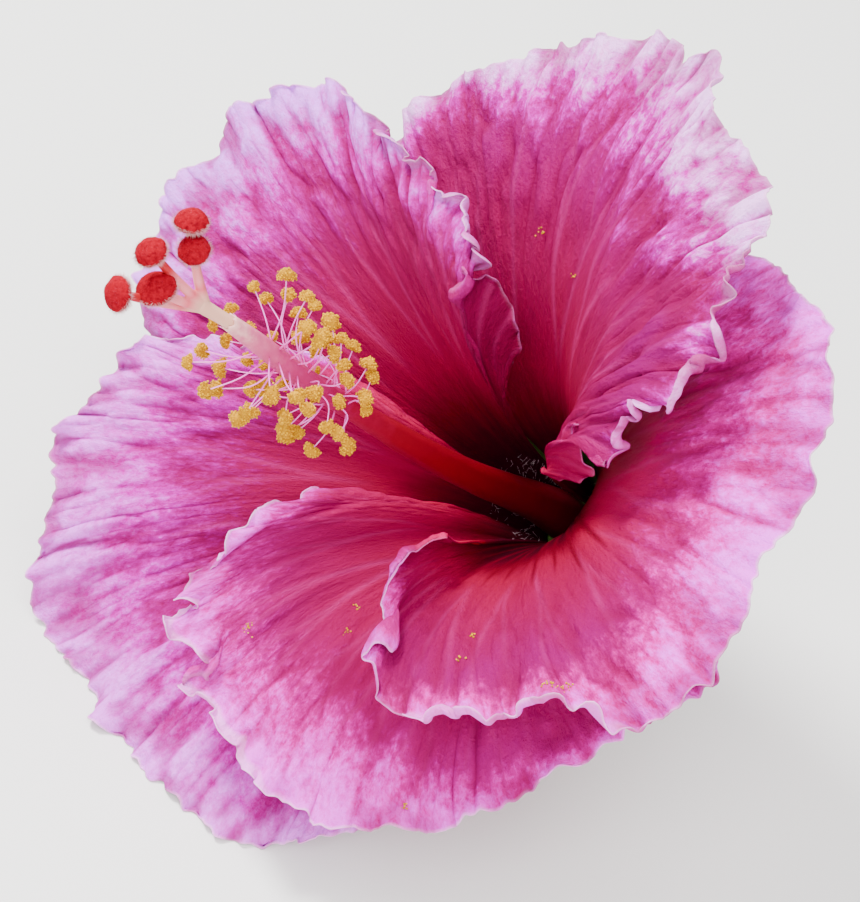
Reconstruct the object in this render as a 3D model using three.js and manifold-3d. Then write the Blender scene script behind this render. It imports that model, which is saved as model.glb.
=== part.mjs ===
// A hibiscus flower as picked: five ruffled petals in a whorl, the staminal column with its
// stamens, the pistil inside it, the calyx, and the stalk with its ring of narrow bracts.
// It lies on the edge of its left petal and on the cut end of its stalk.
//
// Lengths are millimetres and angles are degrees. The flower is described round its own axis:
// an angle turns about the axis, a radius lies square to it, and a height runs along it from
// the receptacle, where the petals grow, towards the stigmas.

import * as THREE from 'three';
import { mergeVertices } from 'three/addons/utils/BufferGeometryUtils.js';
import Module from 'manifold-3d';

const wasm = await Module();
wasm.setup();

// How the flower lies: its spin about its own axis, the tilt of that axis from upright, the
// heading of that tilt, and the place of the receptacle above the surface.
const spinAngle = 59.6;
const tiltAngle = 45.3;
const headingAngle = -57.3;
const receptaclePlace = [27.23, 15.3, 17.05];

// Petals. A petal is a fan of ribs that rise from a narrow claw and spread to its waved edge.
const petalThickness = 0.8;
const ribsAcross = 34;
const stepsAlong = 10;
const stepCrowding = 0.85;
const clawHeight = 2;
const clawHalfAngle = 31;
const clawRadius = { under: 6.3, middle: 5.5, over: 4.7 };
const ruffleWidth = 13;
const edgeSoftening = 0.07;

// How a rib runs on the side that lies under the neighbour, in the middle, and on the side that
// lies over the next petal: its outward lean at the claw and how long it holds that way, then its
// rise where it meets the edge and the share of the way over which it turns to it.
const underRib = { lean: 13, tube: 22, rise: 5, reach: 0.5 };
const middleRib = { lean: 8.5, tube: 22, rise: 0, reach: 0.55 };
const overRib = { lean: 4, tube: 26, rise: 10, reach: 0.5 };
const flatOverRib = { lean: 14, tube: 18, rise: 20, reach: 0.33 };

// Each petal's claw angle, and its edge from the side that lies under its neighbour, round the
// tip, to the side that lies over the next petal: [angle, radius, height].
const petals = {
  petal_right: {
    claw: 332,
    over: flatOverRib,
    edge: [
      [24, 40, 35], [18, 49, 39], [7, 54, 42], [0, 58, 44], [351, 59, 45], [341, 58, 45],
      [333, 57, 45], [328, 56, 45], [322, 58, 46], [317, 58, 46], [311, 59, 47], [307, 58, 48],
      [302, 55, 49], [298, 50, 52], [292, 49, 52], [285, 46, 52], [278, 44, 53], [271, 41, 54],
      [267, 35, 55], [270, 33, 55], [272, 34, 53], [270, 28, 54], [271, 23, 51], [276, 20, 47],
      [279, 19, 44]
    ]
  },
  petal_lower: {
    claw: 260,
    edge: [
      [320, 40, 28], [313, 51, 32], [304, 52, 36], [294, 51, 37], [287, 51, 37], [279, 51, 37],
      [268, 53, 38], [259, 53, 39], [251, 54, 40], [245, 53, 41], [240, 52, 43], [234, 49, 45],
      [226, 47, 47], [221, 47, 50], [223, 43, 49], [214, 43, 52], [213, 38, 52], [210, 39, 53],
      [210, 32, 53], [209, 28, 53], [206, 23, 51], [202, 20, 48], [197, 17, 42], [196, 18, 36],
      [192, 15, 32]
    ]
  },
  petal_left: {
    claw: 188,
    edge: [
      [257, 42, 29], [249, 52, 30], [246, 55, 32], [235, 61, 34], [228, 63, 37], [218, 63, 41],
      [209, 65, 43], [202, 65, 43], [193, 70, 44], [187, 68, 48], [183, 63, 50], [181, 63, 51],
      [177, 60, 52], [171, 62, 53], [165, 54, 54], [156, 49, 55], [151, 42, 53], [147, 36, 50],
      [142, 30, 44], [136, 25, 38]
    ]
  },
  petal_upper_left: {
    claw: 116,
    edge: [
      [162, 48, 40], [151, 58, 47], [136, 62, 51], [130, 64, 52], [124, 61, 53], [119, 62, 54],
      [116, 63, 54], [106, 57, 54], [100, 54, 54], [97, 50, 54], [92, 43, 54], [87, 39, 54],
      [83, 35, 54], [76, 33, 54], [78, 31, 53], [69, 29, 53], [62, 25, 52], [58, 21, 50],
      [64, 18, 50], [61, 21, 47], [55, 21, 44], [51, 18, 39], [54, 14, 35]
    ]
  },
  petal_upper_right: {
    claw: 44,
    edge: [
      [110, 39, 38], [96, 50, 44], [84, 54, 46], [75, 54, 47], [64, 56, 48], [56, 58, 49],
      [49, 60, 50], [43, 61, 51], [41, 59, 51], [37, 62, 51], [29, 56, 52], [23, 57, 52],
      [17, 57, 52], [13, 56, 52], [9, 53, 52], [5, 50, 53], [1, 48, 53], [356, 48, 53],
      [351, 44, 53], [347, 42, 52], [348, 38, 51], [345, 34, 50], [340, 32, 47], [335, 30, 45],
      [345, 27, 45], [347, 23, 44], [336, 25, 40], [333, 21, 36], [336, 15, 32]
    ]
  }
};

// Staminal column: its centre line, which sags a little, and its outer and bore radii by height.
const columnLine = [
  [0, 0, 1.85], [0, 0, 12], [-0.3, -1.2, 22], [0.1, -2.9, 34], [0.3, -3.8, 47], [-0.2, -3.6, 58],
  [-0.4, -3.5, 66], [-0.3, -3.3, 74], [0, -2.8, 81], [0.1, -2.5, 87.5]
];
const columnSides = 10;
const columnRadii = [
  [1.85, 3.4], [5, 3.6], [9, 3.4], [14, 2.9], [22, 2.5], [40, 2.0], [52, 1.75], [60, 1.5],
  [80, 1.35], [88, 1.3]
];
const boreRadii = [[1.85, 2.4], [9, 2.4], [13, 0.95], [88, 0.9]];
const baseHeights = [1.85, 3.5, 5, 7, 9, 11, 13];
const tubeStep = 6;

// Stamens stand on the column in a golden-angle spiral, with a little seeded unevenness.
const stamenCount = 60;
const stamenSeed = 41;
const goldenAngle = 137.5;
const turnUnevenness = 24;
const stamenHeights = [62, 80.5];
const stamenRootDepth = 1.12;
const filamentLengths = [5.8, 9.2];
const filamentUnevenness = [0.88, 1.12];
const filamentRadius = 0.3;
const filamentSides = 3;
const filamentLean = [52, 80];
const antherSize = [1.15, 0.85, 0.75];

// Pistil: ovary and style by height along the column's line, then five branches, each with a pad:
// [angle, radius, height, pad radius].
const styleEnd = [-1.1, -1.6, 91.5];
const pistilRadii = [
  [1.85, 1.4], [3.5, 1.9], [5, 2.0], [7, 1.8], [9, 1.2], [11, 0.5], [87, 0.5], [88.8, 1.0],
  [91.5, 1.1]
];
const pistilSides = 10;
const branchRadius = 0.7;
const branchRoot = 1;
const branchBow = 1.2;
const branchTaper = [1, 1, 0.9, 0.8];
const branchSides = 6;
const padFlatness = 0.4;
const padSides = 10;
const padRows = 5;
const stigmaPads = [
  [46, 5.7, 100, 1.9], [29, 3.3, 98, 1.75], [333, 0.9, 103, 1.8], [240, 3.1, 99, 2.3],
  [241, 5.9, 104, 1.7]
];

// Calyx: a cup with a flat floor round the petal claws, split above into five pointed lobes.
const calyxThickness = 0.9;
const calyxFloor = 1.5;
const calyxNotch = 11;
const calyxTip = 24;
const calyxLobeBow = 0.8;
const calyxWallFoot = 2;
const calyxFloorCentre = 0.5;
const calyxLobes = [32, 108, 180, 258, 332];
const calyxRadii = [
  [0, 5.2], [2, 7.6], [6, 8.8], [10, 10.3], [14, 12.3], [18, 14.6], [22, 17.2], [25, 19.4]
];
const calyxStepsPerLobe = 6;
const calyxRows = 5;

// Stalk: a bent pedicel that widens to the receptacle under the calyx, with narrow bracts.
const stalkGap = 0.35;
const stalkLine = [[8.2, 14.8, -37], [5.2, 11, -31], [2.2, 6, -23], [0.6, 2, -15], [0, 0, -8]];
const pedicelRadius = 1.4;
const receptacleRadii = [[-8, 1.6], [-5, 2.2], [-2.5, 3.6], [-stalkGap, 4.6]];
const stalkSides = 10;
const pedicelSteps = 9;
const bractCount = 7;
const firstBract = 12;
const bractLine = [[3.2, -2], [7.2, -1.5], [10, 1.8], [12, 6.5], [14, 11]];
const bractWidths = [1.5, 1.25, 1.15, 0.8, 0.2];
const bractThickness = 0.8;

const radians = THREE.MathUtils.degToRad;

// the point at an angle about the flower's axis, a radius from it and a height along it
function around(angle, radius, height) {
  return new THREE.Vector3(
    radius * Math.cos(radians(angle)),
    radius * Math.sin(radians(angle)),
    height
  );
}

// the value at a place in a short table of [place, value] pairs
function fromTable(table, place) {
  let next = table.findIndex((pair) => pair[0] >= place);
  if (next < 0) {
    next = table.length - 1;
  }
  const before = table[Math.max(next - 1, 0)];
  const after = table[next];
  const span = after[0] - before[0];
  const share = span > 0 ? (place - before[0]) / span : 0;
  return THREE.MathUtils.lerp(before[1], after[1], share);
}

// a value that changes evenly from one side of a petal, by its middle, to the other
function acrossPetal(values, share) {
  if (share < 0.5) {
    return THREE.MathUtils.lerp(values.under, values.middle, share * 2);
  }
  return THREE.MathUtils.lerp(values.middle, values.over, share * 2 - 1);
}

function randomFrom(seed) {
  let state = seed;
  return () => {
    state = (state * 1664525 + 1013904223) % 4294967296;
    return state / 4294967296;
  };
}

function geometryOf(points, triangles) {
  const geometry = new THREE.BufferGeometry();
  const places = points.flatMap((point) => point.toArray());
  geometry.setAttribute('position', new THREE.Float32BufferAttribute(places, 3));
  geometry.setIndex(triangles.flat());
  return geometry;
}

// a smooth line through hand-placed points
function lineThrough(points) {
  const line = new THREE.CatmullRomCurve3(points, false, 'catmullrom', 0.5);
  line.arcLengthDivisions = 600;
  return line;
}

// the line with each point averaged over its neighbours, so that only its broad waves stay
function softened(points, reach) {
  const last = points.length - 1;
  return points.map((point, i) => {
    const half = Math.min(reach * last, i, last - i);
    if (half <= 0) {
      return point.clone();
    }
    const sum = new THREE.Vector3();
    let total = 0;
    points.forEach((other, k) => {
      if (Math.abs(k - i) <= half) {
        const weight = Math.exp(-2 * ((k - i) / half) ** 2);
        sum.addScaledVector(other, weight);
        total += weight;
      }
    });
    return sum.divideScalar(total);
  });
}

// one rib of a petal: up out of the calyx, then out to its place on the edge
function petalRib(petal, share, edgePoint, softPoint) {
  const over = petal.over ?? overRib;
  const setting = (name) => acrossPetal(
    { under: underRib[name], middle: middleRib[name], over: over[name] },
    share
  );
  const clawAngle = petal.claw + clawHalfAngle * (1 - 2 * share);
  const start = around(clawAngle, acrossPetal(clawRadius, share), clawHeight);
  const outward = new THREE.Vector3(softPoint.x - start.x, softPoint.y - start.y, 0);
  const distance = outward.length();
  outward.divideScalar(distance);
  const lean = radians(setting('lean'));
  const rise = radians(setting('rise'));
  const tube = setting('tube');
  const reach = setting('reach') * distance;
  const leave = start.clone().addScaledVector(outward, Math.sin(lean) * tube);
  leave.z += Math.cos(lean) * tube;
  const arrive = softPoint.clone().addScaledVector(outward, -Math.cos(rise) * reach);
  arrive.z -= Math.sin(rise) * reach;
  const curve = new THREE.CubicBezierCurve3(start, leave, arrive, softPoint);
  const length = curve.getLength();
  const ruffle = edgePoint.clone().sub(softPoint);
  const points = [];
  for (let j = 0; j <= stepsAlong; j += 1) {
    const along = (j / stepsAlong) ** stepCrowding;
    const toEdge = (1 - along) * length;
    const weight = 1 - THREE.MathUtils.smoothstep(toEdge, 0, ruffleWidth);
    points.push(curve.getPointAt(along).addScaledVector(ruffle, weight));
  }
  return points;
}

// the directions square to a surface of rows of points
function surfaceNormals(rows) {
  return rows.map((row, i) => row.map((point, j) => {
    const sideways = rows[Math.min(i + 1, rows.length - 1)][j].clone().sub(rows[Math.max(i - 1, 0)][j]);
    const onward = row[Math.min(j + 1, row.length - 1)].clone().sub(row[Math.max(j - 1, 0)]);
    return sideways.cross(onward).normalize();
  }));
}

// a closed sheet of even thickness about rows of points, split alike on both faces
function sheet(rows, thickness) {
  const normals = surfaceNormals(rows);
  const columns = rows[0].length;
  const offset = (side) => rows.flatMap((row, i) => row.map((point, j) =>
    point.clone().addScaledVector(normals[i][j], side * thickness / 2)));
  const points = [...offset(1), ...offset(-1)];
  const back = rows.length * columns;
  const triangles = [];
  for (let i = 0; i < rows.length - 1; i += 1) {
    for (let j = 0; j < columns - 1; j += 1) {
      const a = i * columns + j;
      const b = a + columns;
      triangles.push([a, b, b + 1], [a, b + 1, a + 1]);
      triangles.push([back + a, back + b + 1, back + b], [back + a, back + a + 1, back + b + 1]);
    }
  }
  const border = [];
  for (let i = 0; i < rows.length - 1; i += 1) border.push(i * columns);
  for (let j = 0; j < columns - 1; j += 1) border.push((rows.length - 1) * columns + j);
  for (let i = rows.length - 1; i > 0; i -= 1) border.push(i * columns + columns - 1);
  for (let j = columns - 1; j > 0; j -= 1) border.push(j);
  border.forEach((a, k) => {
    const b = border[(k + 1) % border.length];
    triangles.push([a, back + b, b], [a, back + a, back + b]);
  });
  return geometryOf(points, triangles);
}

function petalSolid(petal) {
  const edgeLine = lineThrough(petal.edge.map((place) => around(...place)));
  const edgePoints = edgeLine.getSpacedPoints(ribsAcross);
  const softPoints = softened(edgePoints, edgeSoftening);
  const rows = edgePoints.map((point, i) => petalRib(petal, i / ribsAcross, point, softPoints[i]));
  return sheet(rows, petalThickness);
}

// a closed body through rings of points, capped at both ends, or joined from last ring to first
function loft(rings, joined = false) {
  const sides = rings[0].length;
  const points = rings.flat();
  const triangles = [];
  const spans = joined ? rings.length : rings.length - 1;
  for (let i = 0; i < spans; i += 1) {
    const here = i * sides;
    const next = ((i + 1) % rings.length) * sides;
    for (let j = 0; j < sides; j += 1) {
      const k = (j + 1) % sides;
      triangles.push([here + j, here + k, next + k], [here + j, next + k, next + j]);
    }
  }
  if (!joined) {
    const lastRing = (rings.length - 1) * sides;
    for (let j = 1; j < sides - 1; j += 1) {
      triangles.push([0, j + 1, j], [lastRing, lastRing + j, lastRing + j + 1]);
    }
  }
  return geometryOf(points, triangles);
}

// two directions square to each step of a line, carried along it without twist
function framesAlong(centres) {
  const frames = [];
  let side = new THREE.Vector3(1, 0, 0);
  centres.forEach((centre, i) => {
    const ahead = centres[Math.min(i + 1, centres.length - 1)].clone();
    ahead.sub(centres[Math.max(i - 1, 0)]).normalize();
    if (i === 0 && Math.abs(ahead.x) > 0.9) {
      side.set(0, 1, 0);
    }
    side = side.clone().addScaledVector(ahead, -side.dot(ahead)).normalize();
    frames.push({ ahead, side, up: ahead.clone().cross(side) });
  });
  return frames;
}

// a round ring of points about a centre
function ring(centre, frame, radius, sides) {
  const points = [];
  for (let j = 0; j < sides; j += 1) {
    const angle = (j / sides) * Math.PI * 2;
    const point = centre.clone().addScaledVector(frame.side, radius * Math.cos(angle));
    points.push(point.addScaledVector(frame.up, radius * Math.sin(angle)));
  }
  return points;
}

// a solid rod along a line of centres, with a radius at each
function rod(centres, radii, sides) {
  const frames = framesAlong(centres);
  return loft(centres.map((centre, i) => ring(centre, frames[i], radii[i], sides)));
}

function toSolid(geometry) {
  const bare = geometry.clone();
  bare.deleteAttribute('normal');
  bare.deleteAttribute('uv');
  const merged = mergeVertices(bare, 1e-4);
  return new wasm.Manifold(new wasm.Mesh({
    numProp: 3,
    vertProperties: new Float32Array(merged.attributes.position.array),
    triVerts: new Uint32Array(merged.index.array)
  }));
}

function toGeometry(solid) {
  const mesh = solid.getMesh();
  const geometry = new THREE.BufferGeometry();
  geometry.setAttribute('position', new THREE.BufferAttribute(mesh.vertProperties, 3));
  geometry.setIndex(new THREE.BufferAttribute(mesh.triVerts, 1));
  return geometry;
}

function joined(geometries) {
  return toGeometry(geometries.map(toSolid).reduce((whole, piece) => whole.add(piece)));
}

const columnCurve = lineThrough(columnLine.map((place) => new THREE.Vector3(...place)));
const columnMouth = columnLine.at(-1)[2];

// the share of the column's length at which it has a height
function columnShareAt(height) {
  let low = 0;
  let high = 1;
  for (let k = 0; k < 24; k += 1) {
    const middle = (low + high) / 2;
    if (columnCurve.getPointAt(middle).z < height) {
      low = middle;
    } else {
      high = middle;
    }
  }
  return low;
}

// the centre of the column's bore at a height, and past its mouth that of the bare style
function columnCentre(height) {
  const within = columnCurve.getPointAt(columnShareAt(Math.min(height, columnMouth)));
  const beyond = Math.max(height - columnMouth, 0) / (styleEnd[2] - columnMouth);
  return within.lerp(new THREE.Vector3(...styleEnd), beyond);
}

// heights of the rings that the column and the style are built from
function heightsUpTo(top) {
  const heights = [...baseHeights];
  for (let height = heights.at(-1) + tubeStep; height < top - tubeStep / 2; height += tubeStep) {
    heights.push(height);
  }
  return heights;
}

// the column's tube, open at both ends: up the outside, then down the bore
function columnTube() {
  const centres = [...heightsUpTo(columnMouth), columnMouth].map(columnCentre);
  const frames = framesAlong(centres);
  const wall = (radii) => centres.map((centre, i) =>
    ring(centre, frames[i], fromTable(radii, centre.z), columnSides));
  return loft([...wall(columnRadii), ...wall(boreRadii).reverse()], true);
}

// one stamen: a thread that stands out from the column's wall, with an anther on its end
function stamen(order, random) {
  const spread = (range) => THREE.MathUtils.lerp(range[0], range[1], random());
  const climb = (order + random()) / stamenCount;
  const height = THREE.MathUtils.lerp(stamenHeights[0], stamenHeights[1], climb);
  const turn = order * goldenAngle + (random() - 0.5) * turnUnevenness;
  const evenLength = THREE.MathUtils.lerp(filamentLengths[0], filamentLengths[1], climb);
  const length = evenLength * spread(filamentUnevenness);
  const lean = radians(spread(filamentLean));
  const roll = random() * Math.PI;
  const share = columnShareAt(height);
  const centre = columnCurve.getPointAt(share);
  const ahead = columnCurve.getTangentAt(share);
  const outward = around(turn, 1, 0);
  outward.addScaledVector(ahead, -outward.dot(ahead)).normalize();
  const root = centre.clone().addScaledVector(outward, stamenRootDepth);
  const reach = length * Math.sin(lean);
  const tip = root.clone().addScaledVector(outward, reach).addScaledVector(ahead, length * Math.cos(lean));
  const thread = rod([root, tip], [filamentRadius, filamentRadius], filamentSides);
  const anther = new THREE.IcosahedronGeometry(1, 0);
  anther.scale(...antherSize);
  anther.rotateX(roll);
  const pointing = new THREE.Quaternion();
  pointing.setFromUnitVectors(new THREE.Vector3(0, 0, 1), tip.clone().sub(root).normalize());
  anther.applyQuaternion(pointing);
  anther.translate(tip.x, tip.y, tip.z);
  return [thread, anther];
}

function staminalColumn() {
  const random = randomFrom(stamenSeed);
  const pieces = [columnTube()];
  for (let order = 0; order < stamenCount; order += 1) {
    pieces.push(...stamen(order, random));
  }
  return joined(pieces);
}

// one branch of the style and the round pad on its end
function styleBranch([angle, radius, height, padRadius]) {
  const from = new THREE.Vector3(...styleEnd);
  const to = around(angle, radius, height);
  const ahead = to.clone().sub(from).normalize();
  const root = from.clone();
  root.z -= branchRoot;
  const middle = from.clone().lerp(to, 0.5);
  middle.z += branchBow;
  const centres = lineThrough([root, middle, to]).getSpacedPoints(branchTaper.length - 1);
  const branch = rod(centres, branchTaper.map((taper) => taper * branchRadius), branchSides);
  const pad = new THREE.SphereGeometry(padRadius, padSides, padRows);
  pad.rotateX(Math.PI / 2);
  pad.scale(1, 1, padFlatness);
  const pointing = new THREE.Quaternion();
  pointing.setFromUnitVectors(new THREE.Vector3(0, 0, 1), ahead);
  pad.applyQuaternion(pointing);
  pad.translate(to.x, to.y, to.z);
  return [branch, pad];
}

// ovary and style along the column's bore, and out of its mouth to where the branches part
function pistilSolid() {
  const bareHeights = pistilRadii.slice(-3).map(([height]) => height);
  const centres = [...heightsUpTo(bareHeights[0]), ...bareHeights].map(columnCentre);
  const radii = centres.map((centre) => fromTable(pistilRadii, centre.z));
  return joined([rod(centres, radii, pistilSides), ...stigmaPads.flatMap(styleBranch)]);
}

// height of the calyx's edge: lobes that narrow to a point, with a notch between each two
function calyxEdge(step) {
  const fromMiddle = Math.abs(step / calyxStepsPerLobe * 2 - 1);
  return THREE.MathUtils.lerp(calyxTip, calyxNotch, fromMiddle ** calyxLobeBow);
}

// the cup: under its floor, up the outside to the edge, down the inside to the floor's top
function calyxSolid() {
  const angles = [];
  const edges = [];
  calyxLobes.forEach((lobe, k) => {
    const before = calyxLobes.at(k - 1) - (k === 0 ? 360 : 0);
    const after = calyxLobes[(k + 1) % calyxLobes.length] + (k === calyxLobes.length - 1 ? 360 : 0);
    const low = (before + lobe) / 2;
    const high = (lobe + after) / 2;
    for (let step = 0; step < calyxStepsPerLobe; step += 1) {
      const share = step / calyxStepsPerLobe;
      angles.push(share < 0.5
        ? THREE.MathUtils.lerp(low, lobe, share * 2)
        : THREE.MathUtils.lerp(lobe, high, share * 2 - 1));
      edges.push(calyxEdge(step));
    }
  });
  const ringAt = (height, side) => angles.map((angle, k) => {
    const radius = fromTable(calyxRadii, height(k)) + side * calyxThickness / 2;
    return around(angle, radius, height(k));
  });
  const wallHeight = (row) => (k) => THREE.MathUtils.lerp(calyxWallFoot, edges[k], row / calyxRows);
  const rings = [angles.map((angle) => around(angle, calyxFloorCentre, 0)), ringAt(() => 0, 0)];
  for (let row = 0; row <= calyxRows; row += 1) {
    rings.push(ringAt(wallHeight(row), 1));
  }
  for (let row = calyxRows; row >= 0; row -= 1) {
    rings.push(ringAt(wallHeight(row), -1));
  }
  const floorRadius = fromTable(calyxRadii, calyxWallFoot) - calyxThickness;
  rings.push(angles.map((angle) => around(angle, floorRadius, calyxFloor)));
  rings.push(angles.map((angle) => around(angle, calyxFloorCentre, calyxFloor)));
  return loft(rings);
}

// one bract: a narrow blade that leaves the receptacle, bows out under the calyx and rises
function bract(angle) {
  const centres = lineThrough(bractLine.map(([radius, height]) => around(angle, radius, height)))
    .getSpacedPoints(bractWidths.length - 1);
  const across = around(angle + 90, 1, 0);
  const rings = centres.map((centre, i) => {
    const ahead = centres[Math.min(i + 1, centres.length - 1)].clone();
    ahead.sub(centres[Math.max(i - 1, 0)]).normalize();
    const upward = ahead.clone().cross(across).normalize();
    return [
      centre.clone().addScaledVector(across, bractWidths[i]),
      centre.clone().addScaledVector(upward, bractThickness / 2),
      centre.clone().addScaledVector(across, -bractWidths[i]),
      centre.clone().addScaledVector(upward, -bractThickness / 2)
    ];
  });
  return loft(rings);
}

function stalkSolid() {
  const bend = lineThrough(stalkLine.map((place) => new THREE.Vector3(...place)));
  const pedicel = bend.getSpacedPoints(pedicelSteps);
  const radii = pedicel.map(() => pedicelRadius);
  receptacleRadii.forEach(([height, radius]) => {
    if (height > stalkLine.at(-1)[2]) {
      pedicel.push(new THREE.Vector3(0, 0, height));
      radii.push(radius);
    }
  });
  const pieces = [rod(pedicel, radii, stalkSides)];
  for (let k = 0; k < bractCount; k += 1) {
    pieces.push(bract(firstBract + k * 360 / bractCount));
  }
  return joined(pieces);
}

const hibiscus = new THREE.Group();
const tilted = new THREE.Group();
const spun = new THREE.Group();
hibiscus.position.set(...receptaclePlace);
hibiscus.rotation.z = radians(headingAngle);
tilted.rotation.x = radians(tiltAngle);
spun.rotation.z = radians(spinAngle);
hibiscus.add(tilted);
tilted.add(spun);

function addPiece(name, geometry, color, roughness) {
  const material = new THREE.MeshStandardMaterial({ color, roughness, metalness: 0 });
  const mesh = new THREE.Mesh(geometry, material);
  mesh.name = name;
  spun.add(mesh);
}

for (const [name, petal] of Object.entries(petals)) {
  addPiece(name, petalSolid(petal), '#e21478', 0.6);
}
addPiece('staminal_column', staminalColumn(), '#c2185b', 0.55);
addPiece('pistil', pistilSolid(), '#d81030', 0.7);
addPiece('calyx', calyxSolid(), '#6f9a3c', 0.6);
addPiece('stalk', stalkSolid(), '#5f8a34', 0.6);

export default hibiscus;
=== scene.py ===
import math

import bmesh
import bpy
import numpy as np
from mathutils import Matrix, Vector


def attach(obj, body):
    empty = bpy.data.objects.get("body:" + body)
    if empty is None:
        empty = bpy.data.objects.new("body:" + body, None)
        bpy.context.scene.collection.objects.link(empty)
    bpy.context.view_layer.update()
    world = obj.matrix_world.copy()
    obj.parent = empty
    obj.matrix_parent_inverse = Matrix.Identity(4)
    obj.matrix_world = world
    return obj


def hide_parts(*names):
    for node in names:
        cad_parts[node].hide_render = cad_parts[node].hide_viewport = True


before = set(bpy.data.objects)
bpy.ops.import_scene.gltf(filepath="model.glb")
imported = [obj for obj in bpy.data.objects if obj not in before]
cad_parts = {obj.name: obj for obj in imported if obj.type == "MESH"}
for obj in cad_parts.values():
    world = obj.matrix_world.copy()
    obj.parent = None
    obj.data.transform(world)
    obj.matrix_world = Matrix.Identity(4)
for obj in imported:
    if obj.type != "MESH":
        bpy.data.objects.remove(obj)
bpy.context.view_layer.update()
print("frame loaded:", len(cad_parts), "solids")

metre = 0.001  # one millimetre in metres

lying = {
    "spin": 59.6,  # turn about the flower's own axis, degrees
    "tilt": 45.3,  # axis from upright
    "heading": -57.3,  # where the axis leans to
    "receptacle": (27.23, 15.3, 17.05),  # mm above the surface
}

turn = (Matrix.Rotation(math.radians(lying["heading"]), 3, "Z")
        @ Matrix.Rotation(math.radians(lying["tilt"]), 3, "X")
        @ Matrix.Rotation(math.radians(lying["spin"]), 3, "Z"))
turnArray = np.array(turn)
receptacle = np.array(lying["receptacle"])


def toScene(points):  # flower millimetres to scene metres
    return (np.asarray(points, float).reshape(-1, 3) @ turnArray.T + receptacle) * metre


def around(angle, radius, height):  # point round the flower's axis, mm
    a = np.radians(angle)
    return np.stack(np.broadcast_arrays(radius * np.cos(a), radius * np.sin(a), height), -1).astype(float)


# small number tools

def smoothStep(low, high, x):
    s = np.clip((x - low) / (high - low), 0, 1)
    return s * s * (3 - 2 * s)


def noiseTable(seed):
    return np.random.RandomState(seed).rand(64, 64) * 2 - 1


def noise2(seed, x, y):  # smooth noise from -1 to 1, one bump per unit
    table = noiseTable(seed)
    x, y = np.broadcast_arrays(np.asarray(x, float), np.asarray(y, float))
    xi, yi = np.floor(x).astype(int), np.floor(y).astype(int)
    fx, fy = x - xi, y - yi
    fx, fy = fx * fx * (3 - 2 * fx), fy * fy * (3 - 2 * fy)
    near = table[xi % 64, yi % 64] * (1 - fx) + table[(xi + 1) % 64, yi % 64] * fx
    far = table[xi % 64, (yi + 1) % 64] * (1 - fx) + table[(xi + 1) % 64, (yi + 1) % 64] * fx
    return near * (1 - fy) + far * fy


def lineThrough(points, steps):  # smooth line through given points, evenly stepped
    p = np.asarray(points, float)
    ends = np.vstack([2 * p[0] - p[1], p, 2 * p[-1] - p[-2]])
    s = np.arange(32)[:, None] / 32
    fine = []
    for i in range(1, len(ends) - 2):
        a, b, c, d = ends[i - 1:i + 3]
        fine.append(0.5 * (2 * b + (c - a) * s + (2 * a - 5 * b + 4 * c - d) * s ** 2
                           + (3 * b - a - 3 * c + d) * s ** 3))
    fine = np.vstack(fine + [p[-1:]])
    run = runAlong(fine)
    places = np.linspace(0, run[-1], steps + 1)
    return np.stack([np.interp(places, run, fine[:, k]) for k in range(3)], 1)


def runAlong(points):  # distance from the first point to each
    steps = np.linalg.norm(np.diff(points, axis=-2), axis=-1)
    return np.concatenate([np.zeros_like(steps[..., :1]), np.cumsum(steps, -1)], -1)


def softened(points, reach):  # only the broad waves of a line
    last = len(points) - 1
    order = np.arange(last + 1)
    soft = points.copy()
    for i in range(1, last):
        half = min(reach * last, i, last - i)
        weight = np.exp(-2 * ((order - i) / half) ** 2) * (np.abs(order - i) <= half)
        soft[i] = (points * weight[:, None]).sum(0) / weight.sum()
    return soft


def fromTable(table, x):  # value at x in a table of (place, value) pairs, or one value throughout
    return np.interp(x, *zip(*table)) if isinstance(table, list) else np.full(np.shape(x), float(table))


def unit(vectors):
    return vectors / (np.linalg.norm(vectors, axis=-1, keepdims=True) + 1e-12)


def randomFrom(seed):  # the same draws as the solids' stamens
    state = seed
    while True:
        state = (state * 1664525 + 1013904223) % 4294967296
        yield state / 4294967296


# meshes

def makePiece(name, points, faces, material, standsFor):  # points in flower millimetres
    mesh = bpy.data.meshes.new(name)
    mesh.from_pydata(toScene(points), [], faces if isinstance(faces, list) else faces.tolist())
    mesh.update()
    mesh.polygons.foreach_set("use_smooth", [True] * len(mesh.polygons))
    mesh.materials.append(material)
    piece = bpy.data.objects.new(name, mesh)
    bpy.context.scene.collection.objects.link(piece)
    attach(piece, "root")
    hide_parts(standsFor)
    return piece


def addValues(piece, name, values):  # one number per point, read by the materials
    attribute = piece.data.attributes.new(name, "FLOAT", "POINT")
    attribute.data.foreach_set("value", np.asarray(values, np.float32).ravel())


def gridFaces(rows, columns, start=0, flip=False):
    order = start + np.arange(rows * columns).reshape(rows, columns)
    quads = np.stack([order[:-1, :-1], order[1:, :-1], order[1:, 1:], order[:-1, 1:]], -1).reshape(-1, 4)
    return quads[:, ::-1] if flip else quads


class Pile:  # gathers many small meshes into one
    def __init__(self):
        self.points, self.faces, self.values, self.count = [], [], [], 0

    def add(self, points, faces, value=0.0):
        points = np.asarray(points, float).reshape(-1, 3)
        self.points.append(points)
        self.faces += [[int(v) + self.count for v in face] for face in faces]
        self.values.append(np.broadcast_to(np.asarray(value, float), (len(points),)))
        self.count += len(points)

    def piece(self, name, material, standsFor, slot):
        made = makePiece(name, np.vstack(self.points), self.faces, material, standsFor)
        addValues(made, "tone", np.concatenate(self.values))


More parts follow.
